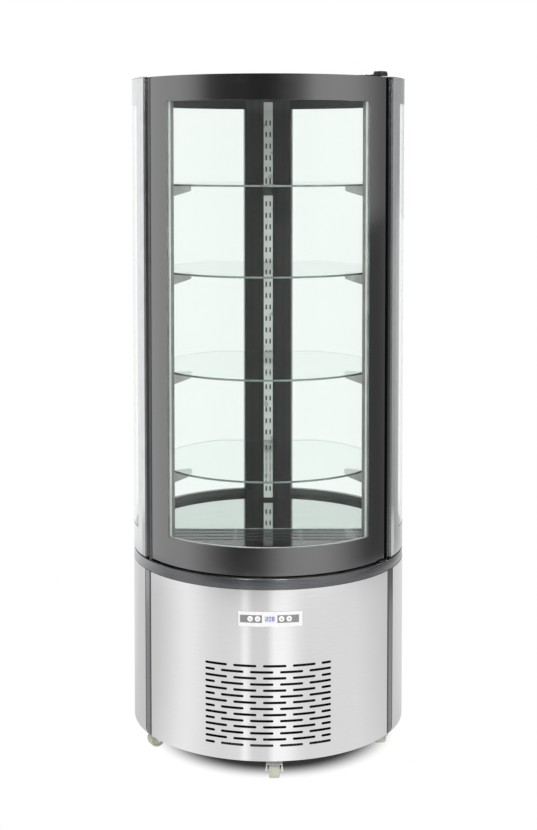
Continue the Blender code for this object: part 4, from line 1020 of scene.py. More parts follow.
@dataclass
class Controls:
    """Control plate with two grey fields, four push buttons and a lit display."""

    finishes: Finishes
    radius: float = BODY_RADIUS
    recess: float = 0.0006
    thickness: float = 0.0044
    width: float = 0.157
    deg: float = 0.9
    button_radius: float = 0.0070
    button_play: float = 0.0004
    button_places: tuple[float, ...] = (-0.0490, -0.0310, 0.0268, 0.0452)
    field_height: float = 0.0185
    field_spans: tuple[Pair, ...] = ((-0.0735, -0.0205), (0.0165, 0.0690))
    field_depths: Pair = (-0.0003, 0.0002)
    window_place: float = -0.0016
    window_size: Pair = (0.0250, 0.0155)
    lens_drop: float = 0.0004
    lens_depth: float = 0.002
    digit_size: Pair = (0.0055, 0.0105)
    digit_pitch: float = 0.0078
    digit_stroke: float = 0.0014
    digit_rise: float = 0.00015
    mark_levels: Pair = (-0.0003, 0.00003)
    mark_stroke: float = 0.00035

    def build(self) -> None:
        """Build the plate, the fields, the buttons and the display."""
        levels = levels_of("control_panel")
        middle = sum(levels) / 2
        outer = self.radius - self.recess
        centre = math.radians(self.deg) * self.radius
        bore = self.button_radius + self.button_play
        buttons = [stadium((centre + place, middle), 2.001 * bore, 2 * bore, 12) for place in self.button_places]
        window = rounded_box(*self.window_size, 0.0015, (centre + self.window_place, middle))
        half = degrees_of(self.width / 2 - GAP, self.radius)
        span = (self.deg - half, self.deg + half)
        Form().bent_sheet((outer - self.thickness, outer), span, levels, [*buttons, window]).piece(
            "control_plate", [self.finishes.panel], "panel", replaces=["control_panel"]
        )
        rows = (middle - self.field_height / 2, middle + self.field_height / 2)
        radii = tuple(outer + depth for depth in self.field_depths)
        for (name, _), ends in zip(SIDES, self.field_spans):
            span = tuple(self.deg + degrees_of(s, self.radius) for s in ends)
            inside = [h for h in buttons if span[0] < math.degrees(h[0][0] / self.radius) < span[1]]
            Form().bent_sheet(radii, span, rows, inside).piece(
                f"control_field_{name}", [self.finishes.segment], "panel"
            )
        for number, place in enumerate(self.button_places, start=1):
            self.build_button(number, self.deg + degrees_of(place, self.radius), middle)
        self.build_display(self.deg + degrees_of(self.window_place, self.radius), middle, outer - self.lens_drop)

    def build_button(self, number: int, degrees: float, z: float) -> None:
        """Build a domed push button and its sign: a ring and bar, a star, or an arrow up or down.

        Args:
            number: number of the button.
            degrees: its angle.
            z: height of its axis.
        """
        place = Matrix.Translation(polar(self.radius - 0.00005, degrees, z))
        spin = place @ turn_to(degrees) @ Matrix.Rotation(math.pi / 2, 4, "X")
        r, body, (low, high), s = self.button_radius, f"button_{number}", self.mark_levels, self.mark_stroke
        Form().turned([
            (0, 0), (r * 0.5, -0.00012), (r * 0.8, -0.0004), (r * 0.93, -0.0008), (r, -0.0016), (r, -0.0050),
            (r + 0.0015, -0.0059), (r + 0.0015, -0.0076), (0, -0.0076),
        ], 48, spin).piece(f"push_{body}", [self.finishes.button], "button", body, [body])
        mark = Form()
        if number == 1:
            mark.turned([(0.0022, low), (0.0022, high), (0.0029, high), (0.0029, low)], 32, spin)
            mark.block((-s, 0.0008, low), (s, 0.0038, high), spin)
        elif number == 2:
            for turn in (0.0, 60.0, 120.0):
                top = high - 0.000005 * turn / 60.0
                mark.block((-0.0031, -s, low), (0.0031, s, top), spin @ turn_to(turn))
        else:
            way = 1 if number == 3 else -1
            mark.prism([(-0.0028, -0.0020 * way), (0.0028, -0.0020 * way), (0.0, 0.0028 * way)], low, high, spin)
        mark.piece(f"button_mark_{number}", [self.finishes.segment], "button", body)

    def build_display(self, degrees: float, z: float, face: float) -> None:
        """Build the display lens with three lit digits on it.

        Args:
            degrees: angle of its middle.
            z: height of its middle.
            face: radius of the lens's face.
        """
        width, height = (size / 2 - GAP for size in self.window_size)
        half = degrees_of(width, self.radius)
        span = arc(degrees - half, degrees + half)
        Form().panel((face - self.lens_depth, face), span, (z - height, z + height)).piece(
            "display_lens", [self.finishes.lens], "display", replaces=["display_window"]
        )
        digits = Form()
        wide, tall = (size / 2 for size in self.digit_size)
        stroke = self.digit_stroke
        left, right, upper = (-wide, stroke - wide), (wide - stroke, wide), (stroke / 2, tall)
        lower = (-upper[1], -upper[0])
        bars = {
            "top": (-wide, wide, tall - stroke, tall), "mid": (-wide, wide, -stroke / 2, stroke / 2),
            "low": (-wide, wide, -tall, stroke - tall), "upper_left": (*left, *upper),
            "upper_right": (*right, *upper), "lower_left": (*left, *lower), "lower_right": (*right, *lower),
        }
        for place, unlit in ((-1, "upper_left"), (0, "mid"), (1, None)):
            for start, end, low, high in (bar for key, bar in bars.items() if key != unlit):
                span = [degrees + degrees_of(place * self.digit_pitch + s, face) for s in (start, end)]
                digits.panel((face, face + self.digit_rise), span, (z + low, z + high))
        digits.piece("display_digits", [self.finishes.digit], "display")


@dataclass
class Door:
    """Curved double-glazed door: enamelled border, panes, spacer, gasket and hinge pins."""

    finishes: Finishes
    radius: float = DOOR_RADIUS
    half_deg: float = DOOR_HALF_DEG
    pane: float = 0.005
    enamel: float = 0.0009
    frame_depth: float = 0.0132
    stile: float = 0.0734
    top_rail: float = 0.061
    bottom_rail: float = 0.0676
    inner_margin: float = 0.010
    spacer: float = 0.007
    spacer_light: float = 0.0024
    spacer_inset: float = 0.001
    gasket_depth: float = 0.0099
    gasket_width: float = 0.012
    gasket_side: float = 0.014
    gasket_end: float = 0.009
    hinge_edge: float = 0.014
    hinge_depth: float = 0.0095
    pin_radius: float = 0.004
    pin_hold: float = 0.02

    def build(self) -> None:
        """Build the door's pieces."""
        low, high = levels_of("door_glass")
        half, black = self.half_deg, [self.finishes.black]
        opening = half - degrees_of(self.stile, self.radius)
        foot, top = low + self.bottom_rail, high - self.top_rail
        back = self.radius - self.pane
        Form().window((back, self.radius), (-half, half), (low, high), (-opening, opening), (foot, top)).piece(
            "door_border", [self.finishes.enamel], "frame_black", "door", sharp_deg=30.0
        )
        inset = GAP / 4
        Form().panel(
            (back, self.radius - self.enamel), arc(-opening + 0.02, opening - 0.02), (foot + inset, top - inset),
            finishes=(0, 0, 1),
        ).piece(
            "door_outer_pane", [self.finishes.front_glass, self.finishes.edge], "glass", "door", ["door_glass"]
        )
        r_out = back - GAP
        r_in = r_out - self.frame_depth
        Form().window(
            (r_in, r_out), (-half, half), (low, high), (-opening - 0.05, opening + 0.05), (foot - 0.0005, top + 0.0005)
        ).piece("door_black_frame", black, "frame_black", "door", ["door_frame"])
        self.build_spacer((r_in, r_out), opening, (foot + GAP, top - GAP))
        r_out = r_in - GAP
        r_in = r_out - self.pane
        side = half - degrees_of(self.inner_margin, r_out)
        levels = (low + self.inner_margin, high - self.inner_margin)
        Form().panel((r_in, r_out), arc(-side, side), levels, finishes=(0, 0, 1)).piece(
            "door_inner_pane", [self.finishes.glass, self.finishes.edge], "glass", "door", ["door_inner_glass"]
        )
        self.build_gasket(r_in - GAP, (levels[0] + self.gasket_end, levels[1] - self.gasket_end))
        self.build_pins(low, high)

    def build_spacer(self, radii: Pair, opening: float, levels: Pair) -> None:
        """Build the spacer bars: light in front, dull behind, and a thin one along the foot.

        Args:
            radii: inner and outer radius of the black frame.
            opening: angle from the door's middle to the opening's side.
            levels: heights of the bars.
        """
        inner, outer = radii[0] + self.spacer_inset, radii[1] - self.spacer_inset
        split = radii[1] - self.spacer_light
        band = opening - degrees_of(self.spacer, radii[0])
        bars = Form()
        for _, side in SIDES:
            span = sorted((side * (opening + 0.04), side * band))
            bars.panel((split, outer), span, levels)
            bars.panel((inner, split - 0.0002), span, levels, finishes=(1, 1, 1))
        bars.panel((split, outer), arc(-band, band), (levels[0], levels[0] + 0.001))
        bars.piece("door_spacer_bars", [self.finishes.spacer, self.finishes.spacer_back], "frame_silver", "door")

    def build_gasket(self, radius: float, levels: Pair) -> None:
        """Build the magnetic gasket as a soft ribbed frame.

        Args:
            radius: radius of its outer face.
            levels: its lowest and highest height.
        """
        half = self.half_deg - degrees_of(self.gasket_side, radius)
        width = degrees_of(self.gasket_width, radius)
        form = Form()
        for inset, inner, outer in ((0.0, 0.72, 0.0), (0.16, 0.88, 0.7), (0.0, 1.0, 0.86)):
            ends = (half - inset * width, half - width + inset * width)
            rows, gap_rows = (
                (levels[0] + share * self.gasket_width, levels[1] - share * self.gasket_width)
                for share in (inset, 1 - inset)
            )
            radii = (radius - self.gasket_depth * inner, radius - self.gasket_depth * outer)
            form.window(radii, (-ends[0], ends[0]), rows, (-ends[1], ends[1]), gap_rows)
        form.piece("door_seal", [self.finishes.rubber], "rubber", "door", ["door_gasket"])

    def build_pins(self, low: float, high: float) -> None:
        """Build the hinge pins.

        Args:
            low: lowest height of the door's glass.
            high: highest height of the door's glass.
        """
        radius = self.radius - self.hinge_depth
        x, y = polar(radius, self.half_deg - degrees_of(self.hinge_edge, radius)).xy
        foot, top = levels_of("door_frame")
        form = Form()
        for start, end in ((foot, low + self.pin_hold), (high - self.pin_hold, top)):
            form.bar(self.pin_radius, (x, y, start), (x, y, end), 32)
        form.piece("door_hinge_pins", [self.finishes.zinc], "frame_black", "door")


@dataclass
class Hinges:
    """Top hinge bracket with its ribbed pin cap, and the bottom bracket on the collar."""

    finishes: Finishes
    radius: float = 0.3295
    edge: float = 0.014
    cap_size: Pair = (0.030, 0.028)
    plate: float = 0.004
    plate_reach: float = 0.060
    corner: float = 0.004
    rib_count: int = 7
    rib_pitch: float = 0.0034
    rib_half: float = 0.0007
    screw_places: Pair = (0.030, 0.046)
    foot_depth: float = 0.031
    foot_place: float = -0.332

    def build(self) -> None:
        """Build both brackets."""
        spin = turn_to(DOOR_HALF_DEG - degrees_of(self.edge, self.radius))
        low, high = levels_of("hinge_bracket_top")
        black = [self.finishes.black]
        width, depth = self.cap_size
        top, ribs, screws = Form(), Form(), Form()
        for smaller, foot, head in ((0.0008, low + 0.0002, high - 0.0030), (0.0034, high - 0.0031, high)):
            outline = rounded_box(width - smaller, depth - smaller, self.corner, (0.0, -self.radius))
            top.prism(outline, foot, head, spin)
        middle = (0.0, self.plate_reach / 2 - self.radius)
        top.prism(rounded_box(width, self.plate_reach, self.corner, middle), low, low + self.plate, spin)
        top.piece("top_hinge_bracket", black, "black_coat", replaces=["hinge_bracket_top"], rounding=0.0006)
        front = -self.radius - depth / 2
        for k in range(self.rib_count):
            x = (k - (self.rib_count - 1) / 2) * self.rib_pitch
            ends = ((x - self.rib_half, front, low + 0.0016), (x + self.rib_half, front + 0.002, high - 0.0034))
            ribs.block(*ends, spin)
        ribs.piece("hinge_cap_ribs", black, "black_coat", rounding=0.0003)
        profile = [(0, 0), (0.0048, 0), (0.0048, 0.0012), (0.0036, 0.0024), (0.0012, 0.0028), (0, 0.0022)]
        for reach in self.screw_places:
            centre = spin @ Vector((0.0, reach - self.radius, low + self.plate - 0.0005))
            screws.turned(profile, 24, Matrix.Translation(centre))
        screws.piece("hinge_screws", [self.finishes.zinc], "black_coat")
        outline = rounded_box(width, self.foot_depth, self.corner, (0.0, self.foot_place))
        Form().prism(outline, *levels_of("hinge_bracket_bottom"), spin).piece(
            "bottom_hinge_bracket", black, "black_coat", replaces=["hinge_bracket_bottom"], rounding=0.0005
        )


@dataclass
class SideWindows:
    """Curved double-glazed side windows with a silver enamelled border."""

    finishes: Finishes
    outer: float = 0.3495
    pane: float = 0.005
    enamel: float = 0.0009
    frame_depth: float = 0.010
    inner_pane: float = 0.0042
    stile: float = 0.032
    rear_stile: float = 0.004
    top_rail: float = 0.062
    bottom_rail: float = 0.066
    inner_margin: float = 0.008
    # painted shade: the foot of each window is a black rubber strip of this height, which draws the dark shadow line
    # above the collar
    shade_strip: float = 0.0045
    shade_strip_step: float = 0.0015
    trim_deg: float = 61.9
    trim_depth: float = 0.0057

    def build(self) -> None:
        """Build both windows."""
        for name, side in SIDES:
            self.build_window(name, side)

    def build_window(self, name: str, side: int) -> None:
        """Build one window.

        Args:
            name: left or right.
            side: -1 or 1.
        """
        start, end = angles_of(f"side_glass_{name}")
        low, high = levels_of(f"side_glass_{name}")
        near = start + degrees_of(self.stile, self.outer)
        far = end - degrees_of(self.rear_stile, self.outer)
        foot, bottom, top = low + self.shade_strip, low + self.bottom_rail, high - self.top_rail
        back = self.outer - self.pane
        panes, silver = [self.finishes.glass, self.finishes.edge], [self.finishes.silver]

        def sides(a: float, b: float) -> Pair:
            """Two angles on the window's own side, the lower first."""
            return tuple(sorted((side * a, side * b)))

        Form().window((back, self.outer), sides(start, end), (foot, high), sides(near, far), (bottom, top)).piece(
            f"side_border_{name}", silver, "frame_silver"
        )
        # Painted shade: a black strip at the window's foot gives the dark shadow line over the collar.
        shade_strip = rounded_profile((back, self.outer - self.shade_strip_step), (low, foot - GAP), 0.0008)
        Form().sweep(shade_strip, arc(*sides(self.trim_deg, end))).piece(
            f"side_foot_seal_{name}", [self.finishes.rubber], "rubber"
        )
        trim = rounded_profile((self.outer - self.trim_depth, self.outer), (foot, high), 0.0012)
        Form().sweep(trim, arc(*sides(self.trim_deg, start - 0.03))).piece(
            f"side_edge_trim_{name}", silver, "frame_silver"
        )
        Form().panel(
            (back, self.outer - self.enamel), arc(*sides(near + 0.02, far - 0.02)),
            (bottom + GAP / 4, top - GAP / 4), finishes=(0, 0, 1),
        ).piece(f"side_outer_pane_{name}", panes, "glass", replaces=[f"side_glass_{name}"])
        r_out = back - GAP
        r_in = r_out - self.frame_depth
        Form().window((r_in, r_out), sides(start, end), (low, high), sides(near, far), (bottom, top)).piece(
            f"side_spacer_frame_{name}", [self.finishes.inner_border], "frame_silver", replaces=[f"side_frame_{name}"]
        )
        r_out = r_in - GAP
        margin = degrees_of(self.inner_margin, self.outer)
        levels = (low + self.inner_margin, high - self.inner_margin)
        span = arc(*sides(start + margin, end - margin))
        Form().panel((r_out - self.inner_pane, r_out), span, levels, finishes=(0, 0, 1)).piece(
            f"side_inner_pane_{name}", panes, "glass", replaces=[f"side_inner_glass_{name}"]
        )


@dataclass
class Uprights:
    """Two black front uprights: the lip that the door seals on and the strip beside the door."""

    finishes: Finishes
    gap: float = 0.0048
    latch_gap: float = 0.0014
    latch_depth: float = 0.006
    strip: float = 0.031
    face: float = 0.3050
    depth: float = 0.0147
    outer: float = 0.3435

    def build(self) -> None:
        """Build both uprights, and the narrow strip at the latch side of the door."""
        start = DOOR_HALF_DEG + degrees_of(self.gap, DOOR_RADIUS)
        end = start + degrees_of(self.strip, self.outer)
        lip = (levels_of("cabinet_floor")[1] + GAP, levels_of("roof")[0] - GAP)
        for name, side in SIDES:
            node = f"upright_{name}"
            levels = levels_of(node)
            form = Form()
            for radii, rows, first, edge in (
                ((self.face + GAP, self.outer), levels, start, 0.0012),
                ((self.face - self.depth, self.face), lip, angles_of(node)[0], 0.001),
            ):
                form.sweep(rounded_profile(radii, rows, edge), arc(side * first, side * end, 0.8))
            form.piece(
                f"front_upright_{name}", [self.finishes.upright], "black_panel", replaces=[node], rounding=0.0008
            )
            if name == "left":
                near, far = -DOOR_HALF_DEG - degrees_of(self.latch_gap, DOOR_RADIUS), 0.02 - start
                back = DOOR_RADIUS - self.latch_depth
                edge = ((self.outer - 0.0004, far), (DOOR_RADIUS, near), (back, near), (back, far))
                Form().prism([tuple(polar(*spot).xy) for spot in edge], *levels).piece(
                    "latch_side_strip", [self.finishes.latch], "black_panel", rounding=0.0005
                )


@dataclass
class Shelves:
    """Four round glass shelves with a ground green edge and a straight back."""

    finishes: Finishes
    radius: float = 0.280
    back: float = 0.2442
    count: int = 4

    def build(self) -> None:
        """Build the shelves."""
        end = 180.0 - math.degrees(math.acos(self.back / self.radius))
        outline = arc_outline(self.radius, -end, end)
        for number in range(1, self.count + 1):
            node = f"shelf_{number}"
            Form().prism(outline, *levels_of(node), rim=1).piece(
                f"glass_{node}", [self.finishes.shelf, self.finishes.edge], "glass", replaces=[node], rounding=0.0007
            )


@dataclass
class Rails:
    """Three slotted steel rails, with a grey bracket for each shelf at the front and a black one at the rear.

    A bracket's sizes are its reach, its height at the root and at the tip, and its width.
    """

    finishes: Finishes
    width: float = 0.025
    sheet: float = 0.003
    slot_size: Pair = (0.004, 0.014)
    slot_spacing: float = 0.011
    front_pitch: float = 0.0634
    rear_pitch: float = 0.0317
    front_deg: float = 57.4
    upright_in: float = 0.2897
    rear_face: float = 0.2497
    front_bracket: tuple[float, float, float, float] = (0.057, 0.027, 0.013, 0.012)
    rear_bracket: tuple[float, float, float, float] = (0.068, 0.034, 0.010, 0.030)
    fold: float = 0.0005
    shelf_count: int = 4

    def build(self) -> None:
        """Build the rails and the brackets."""
        face = math.sqrt(self.upright_in ** 2 - (self.width / 2) ** 2)
        seats = [levels_of(f"shelf_{n}")[0] for n in range(1, self.shelf_count + 1)]
        reach, root, tip, width = self.front_bracket
        for name, side in SIDES:
            spin = turn_to(side * self.front_deg)
            self.build_rail(name, face, spin, 1, self.front_pitch)
            arms = Form()
            for seat in seats:
                outline = wedge(self.sheet - face - 0.001, reach - self.sheet / 2 + 0.001, root, tip, seat - GAP)
                arms.prism(outline, -width / 2, width / 2, spin @ SIDEWAYS)
            arms.piece(f"shelf_brackets_{name}", [self.finishes.bracket], "stainless", rounding=0.001)
        spin = turn_to(180.0)
        self.build_rail("rear", self.rear_face, spin, 2, self.rear_pitch)
        for number, seat in enumerate(seats, start=1):
            self.build_rear_bracket(number, seat - GAP, spin)

    def build_rail(self, name: str, face: float, spin: Matrix, columns: int, pitch: float) -> None:
        """Build a slotted rail.

        Args:
            name: left, right or rear.
            face: distance of its back from the case's axis.
            spin: matrix that turns it from the front to its place.
            columns: columns of slots.
            pitch: pitch of the slots.
        """
        node = f"bracket_rail_{name}"
        low, high = levels_of(node)
        count = math.floor((high - low) / pitch)
        first = (low + high) / 2 - (count - 1) / 2 * pitch
        holes = [
            rounded_box(*self.slot_size, 0.001, ((column - (columns - 1) / 2) * self.slot_spacing, first + row * pitch))
            for row in range(count - columns + 1) for column in range(columns)
        ]
        outline = rounded_box(self.width, high - low, 0.0015, (0.0, (low + high) / 2))
        depths = (self.sheet - face, -face)
        Form().pierced(outline, holes, lambda x, z, side: spin @ Vector((x, depths[side], z))).piece(
            f"slotted_rail_{name}", [self.finishes.rail], "stainless", replaces=[node]
        )

    def build_rear_bracket(self, number: int, top: float, spin: Matrix) -> None:
        """Build a rear bracket: a sheet folded over two tapering cheeks.

        Args:
            number: number of its shelf.
            top: height of its top.
            spin: matrix that turns it to the rear.
        """
        reach, root, tip, width = self.rear_bracket
        start = self.sheet + GAP - self.rear_face
        end, under, inner = start + reach - self.fold, top - self.sheet, width / 2 - self.sheet
        form = Form()
        for _, side in SIDES:
            ends = sorted((side * width / 2, side * inner))
            form.prism(wedge(start, reach, root, tip, top), *ends, spin @ SIDEWAYS)
        inner += self.fold
        for y_near, y_far, low, high in (
            (start, end, under, top), (start, start + self.sheet, top - root, under),
            (end - self.sheet, end, top - tip + 0.002, under),
        ):
            form.block((-inner, y_near, low), (inner, y_far, high), spin)
        node = f"rear_bracket_{number}"
        form.piece(
            f"rear_shelf_bracket_{number}", [self.finishes.black], "black_coat", replaces=[node], rounding=0.0006
        )


@dataclass
class Deck:
    """Mirror-polished deck plate and the glossy louvred grate in front of its straight edge."""

    finishes: Finishes
    front: float = 0.064
    inner: float = 0.2894
    outer: float = 0.3288
    notch: float = 0.0616
    column_front: float = 0.2497
    split_deg: float = 65.1
    slot_count: int = 4
    slot_width: float = 0.014
    slot_margin: float = 0.008
    slot_pitch: float = 0.030
    rib: float = 0.006
    rib_place: float = 0.083
    slats: int = 3
    slat: float = 0.0011
    slat_lean: float = 0.0012
    slat_lap: float = 0.0005

    def build(self) -> None:
        """Build the deck and the grate."""
        start = math.degrees(math.acos(self.front / self.outer))
        end = 180.0 - math.degrees(math.asin(self.notch / self.outer))
        outline = mirrored([*arc_outline(self.outer, start, end), (self.notch, self.column_front)])
        Form().prism(outline, *levels_of("deck_plate")).piece(
            "polished_deck", [self.finishes.deck], "deck", replaces=["deck_plate"], rounding=0.0006
        )
        low, high = levels = levels_of("air_grille")
        edge = math.degrees(math.acos((self.front + GAP) / self.outer))
        rim = arc_outline(self.inner, 0.0, self.split_deg) + arc_outline(self.outer, self.split_deg, edge)
        side, middle = self.rib_place + self.rib / 2, self.rib_place - self.rib / 2
        spans = []
        for k in range(self.slot_count):
            near = self.front + self.slot_margin + k * self.slot_pitch
            far = near + self.slot_width
            reach = math.sqrt(self.inner ** 2 - far ** 2) - self.slot_margin
            spans += [(a, b, near, far) for a, b in ((-reach, -side), (-middle, middle), (side, reach))]
        holes = [rounded_box(b - a, far - near, 0.002, ((a + b) / 2, -(near + far) / 2)) for a, b, near, far in spans]
        grate = Form().pierced(mirrored(rim), holes, lambda x, y, side: Vector((x, y, levels[side])))
        foot, top = low + 0.0002, high - 0.0002
        for a, b, near, _ in spans:
            for k in range(self.slats):
                y = -near - (k + 0.5) * self.slot_width / self.slats
                back, front = y - self.slat_lean, y + self.slat_lean
                slope = [(back, foot), (back + self.slat, foot), (front, top), (front - self.slat, top)]
                grate.prism(slope, a - self.slat_lap, b + self.slat_lap, SIDEWAYS)
        grate.piece("louvred_grate", [self.finishes.louvre], "black_coat", replaces=["air_grille"])


@dataclass
class Column:
    """Rear air column: a dark panel with upright grooves in front and a painted skin behind."""

    finishes: Finishes
    width: float = 0.122
    front: float = 0.250
    groove: float = 0.003
    corner: float = 0.0007
    places: tuple[float, ...] = (0.014, 0.024, 0.040, 0.047)
    inner: float = 0.3294
    outer: float = 0.3495
    inner_pane: float = 0.0042

    def build(self) -> None:
        """Build the column."""
        half, depth = self.width / 2, self.front
        right = [(0.0, depth)]
        for k, place in enumerate(self.places):
            other = 2 * self.front + self.groove - depth
            right += [(place - self.corner, depth), (place + self.corner * 0.4, other)]
            depth = other
        right += [
            (half - self.corner, self.front), (half, self.front + self.corner),
            (half, math.sqrt((self.inner + self.inner_pane) ** 2 - half ** 2)),
        ]
        reach = math.degrees(math.asin(half / self.inner))
        skin = rounded_profile((self.inner + GAP, self.outer), levels_of("rear_column"), 0.001)
        form = Form().prism(mirrored(right), levels_of("cabinet_floor")[1] + GAP, levels_of("roof")[0] - GAP)
        form.sweep(skin, arc(180.0 - reach, 180.0 + reach), finish=1).piece(
            "air_column", [self.finishes.column, self.finishes.black], "black_coat", replaces=["rear_column"],
            sharp_deg=25.0,
        )


@dataclass
class Roof:
    """Insulated black roof, its thin silver cap with screws round the rim, and the lamp under the ceiling."""

    finishes: Finishes
    face: float = 0.3047
    cabin: float = 0.3294
    side: float = 0.3495
    split_deg: float = 65.05
    cap_split_deg: float = 59.81
    cap_sheet: float = 0.0022
    screw_count: int = 9
    screw_start_deg: float = 75.0
    screw_inset: float = 0.012
    lamp_size: Pair = (0.260, 0.034)
    lamp_front: float = 0.150
    lamp_channel: float = 0.004

    def outline(self, front: float, rear: float, split: float) -> list[Pair]:
        """Plan outline with one radius across the door and another round the rest."""
        return arc_outline(front, -split, split) + arc_outline(rear, split, 360.0 - split)

    def build(self) -> None:
        """Build the roof and the lamp."""
        low, high = levels_of("roof")
        under = high - self.cap_sheet
        form = Form().prism(self.outline(self.face, self.cabin, self.split_deg), low, under + 0.0005)
        form.prism(self.outline(self.face - 0.00001, self.side, self.cap_split_deg), under, high, finish=1).piece(
            "insulated_roof", [self.finishes.ceiling, self.finishes.cap], "black_panel", replaces=["roof"],
            rounding=0.0005,
        )
        screws = Form()
        profile = [(0, 0), (0.0040, 0), (0.0040, 0.0008), (0.0030, 0.0017), (0.0010, 0.0020), (0, 0.0016)]
        turn = 2 * (180.0 - self.screw_start_deg)
        for k in range(self.screw_count):
            degrees = self.screw_start_deg + k * turn / (self.screw_count - 1)
            place = polar(self.side - self.screw_inset, degrees, high - 0.0001)
            screws.turned(profile, 24, Matrix.Translation(place))
        screws.piece("roof_screws", [self.finishes.zinc], "black_panel")
        self.build_lamp()

    def build_lamp(self) -> None:
        """Build the lamp: an aluminium channel with end caps and a milky lens."""
        low, high = levels_of("ceiling_lamp")
        (long, wide), y, channel = self.lamp_size, -self.lamp_front, self.lamp_channel
        form = Form().prism(rounded_box(long - 2 * channel, wide, 0.002, (0.0, y)), high - channel, high)
        for _, side in SIDES:
            cap = rounded_box(channel, wide, 0.0018, (side * (long / 2 - channel / 2), y))
            form.prism(cap, low + 0.0005, high, finish=1)
        half = [(0.0, low), (0.009, low + 0.0008), (0.0135, low + 0.003), (0.015, high - channel)]
        lens = [(-a, z) for a, z in reversed(half[1:])] + half
        form.prism([(y + a, z) for a, z in lens], -long / 2 + channel, long / 2 - channel, SIDEWAYS, 2).piece(
            "ceiling_lamp_housing", [self.finishes.spacer, self.finishes.black, self.finishes.lamp], "lamp",
            replaces=["ceiling_lamp"],
        )


@dataclass
class Casters:
    """Five swivel casters: a hooded fork of zinc-plated sheet and a cream nylon wheel, each."""

    finishes: Finishes
    count: int = 5
    wheel_radius: float = 0.020
    wheel_width: float = 0.026
    side_gap: float = 0.004
    plate: float = 0.003
    trail: float = 0.014
    head_radius: float = 0.014
    hood_low: float = 0.043
    lip_lifts: Pair = (0.0014, 0.0034)
    nut_radius: float = 0.005
    nut_height: float = 0.002
    axle_radius: float = 0.003
    bore: float = 0.0044
    head_top: float = 0.0572
    pin_floor: float = 0.0478

    def build(self) -> None:
        """Build each caster where its joints are."""
        joints = {joint["name"]: joint for joint in frame["joints"]}
        for number in range(1, self.count + 1):
            place = Vector(joints[f"caster_swivel_{number}"]["pos_m"])
            axle = joints[f"wheel_roll_{number}"]["axis"]
            heading = Matrix.Rotation(math.atan2(axle[1], axle[0]), 4, "Z")
            spin = Matrix.Translation((place.x, place.y, 0.0)) @ heading
            self.build_fork(number, spin)
            self.build_wheel(number, spin)

    def round_axle(self, radius: float, degrees: Iterable[float]) -> list[Pair]:
        """Side points at a radius from the axle, as y and z."""
        turns = [math.radians(a) for a in degrees]
        return [(-self.trail + radius * math.cos(a), self.wheel_radius + radius * math.sin(a)) for a in turns]

    def build_fork(self, number: int, spin: Matrix) -> None:
        """Build a fork.

        Args:
            number: number of the caster.
            spin: matrix that places it, with its swivel axis at the origin.
        """
        inner = self.wheel_width / 2 + self.side_gap
        outer, high = inner + self.plate, self.hood_low + self.plate
        back, front = self.head_radius, -self.trail - self.nut_radius
        cheek = [
            *self.round_axle(self.nut_radius, range(170, 381, 15)), (-0.004, 0.030), (0.006, 0.0385),
            (back - 0.001, 0.0415), (back, high), (front, high), (front - 0.0032, 0.0385), (front - 0.0046, 0.030),
        ]
        form = Form()
        for _, side in SIDES:
            form.prism(cheek, *sorted((side * inner, side * outer)), spin @ SIDEWAYS)
        hood = rounded_box(2 * outer, back - front, 0.0025, (0.0, (back + front) / 2))
        form.prism(hood, self.hood_low, high, spin)
        under, over = (self.wheel_radius + lift for lift in self.lip_lifts)
        lip = self.round_axle(under, range(92, 129, 6)) + self.round_axle(over, range(128, 91, -6))
        form.prism(lip, -outer, outer, spin @ SIDEWAYS)
        r, top = self.head_radius, self.head_top
        form.turned([
            (0, high - 0.001), (r, high - 0.001), (r, high + 0.0040), (r - 0.0012, high + 0.0050),
            (r - 0.0012, high + 0.0060), (r, high + 0.0070), (r, top - 0.0008), (r - 0.0008, top),
            (self.bore, top), (self.bore, self.pin_floor), (0, self.pin_floor),
        ], 48, spin)
        reach = outer + self.nut_height
        for _, side in SIDES:
            nut = [spin @ Vector((side * x, -self.trail, self.wheel_radius)) for x in (outer - 0.0005, reach)]
            form.bar(self.nut_radius, *nut, 6, 0.0006)
        axle = [spin @ Vector((side * (reach - 0.0004), -self.trail, self.wheel_radius)) for _, side in SIDES]
        name = f"caster_fork_{number}"
        form.bar(self.axle_radius, *axle, 24).piece(
            f"hooded_{name}", [self.finishes.zinc], "zinc", f"caster_{number}", [name], rounding=0.0006
        )

    def build_wheel(self, number: int, spin: Matrix) -> None:
        """Build a wheel with recessed sides and a rounded tread.

        Args:
            number: number of the caster.
            spin: matrix that places the caster, with its swivel axis at the origin.
        """
        half, r = self.wheel_width / 2, self.wheel_radius
        right = [
            (r, 0.0), (r, half - 0.0035), (r - 0.0005, half - 0.0018), (r - 0.0016, half - 0.0006), (r - 0.003, half),
            (r - 0.0048, half), (r - 0.0056, half - 0.0016), (0.0095, half - 0.0016), (0.0088, half - 0.0004),
            (0.0084, half), (0.0036, half), (0.0034, half - 0.0006),
        ]
        turn = spin @ Matrix.Translation((0.0, -self.trail, r)) @ Matrix.Rotation(math.pi / 2, 4, "Y")
        name = f"caster_wheel_{number}"
        Form().turned(right + [(a, -b) for a, b in reversed(right[1:])], 64, turn).piece(
            f"nylon_{name}", [self.finishes.nylon], "nylon", f"wheel_{number}", [name], sharp_deg=40.0
        )


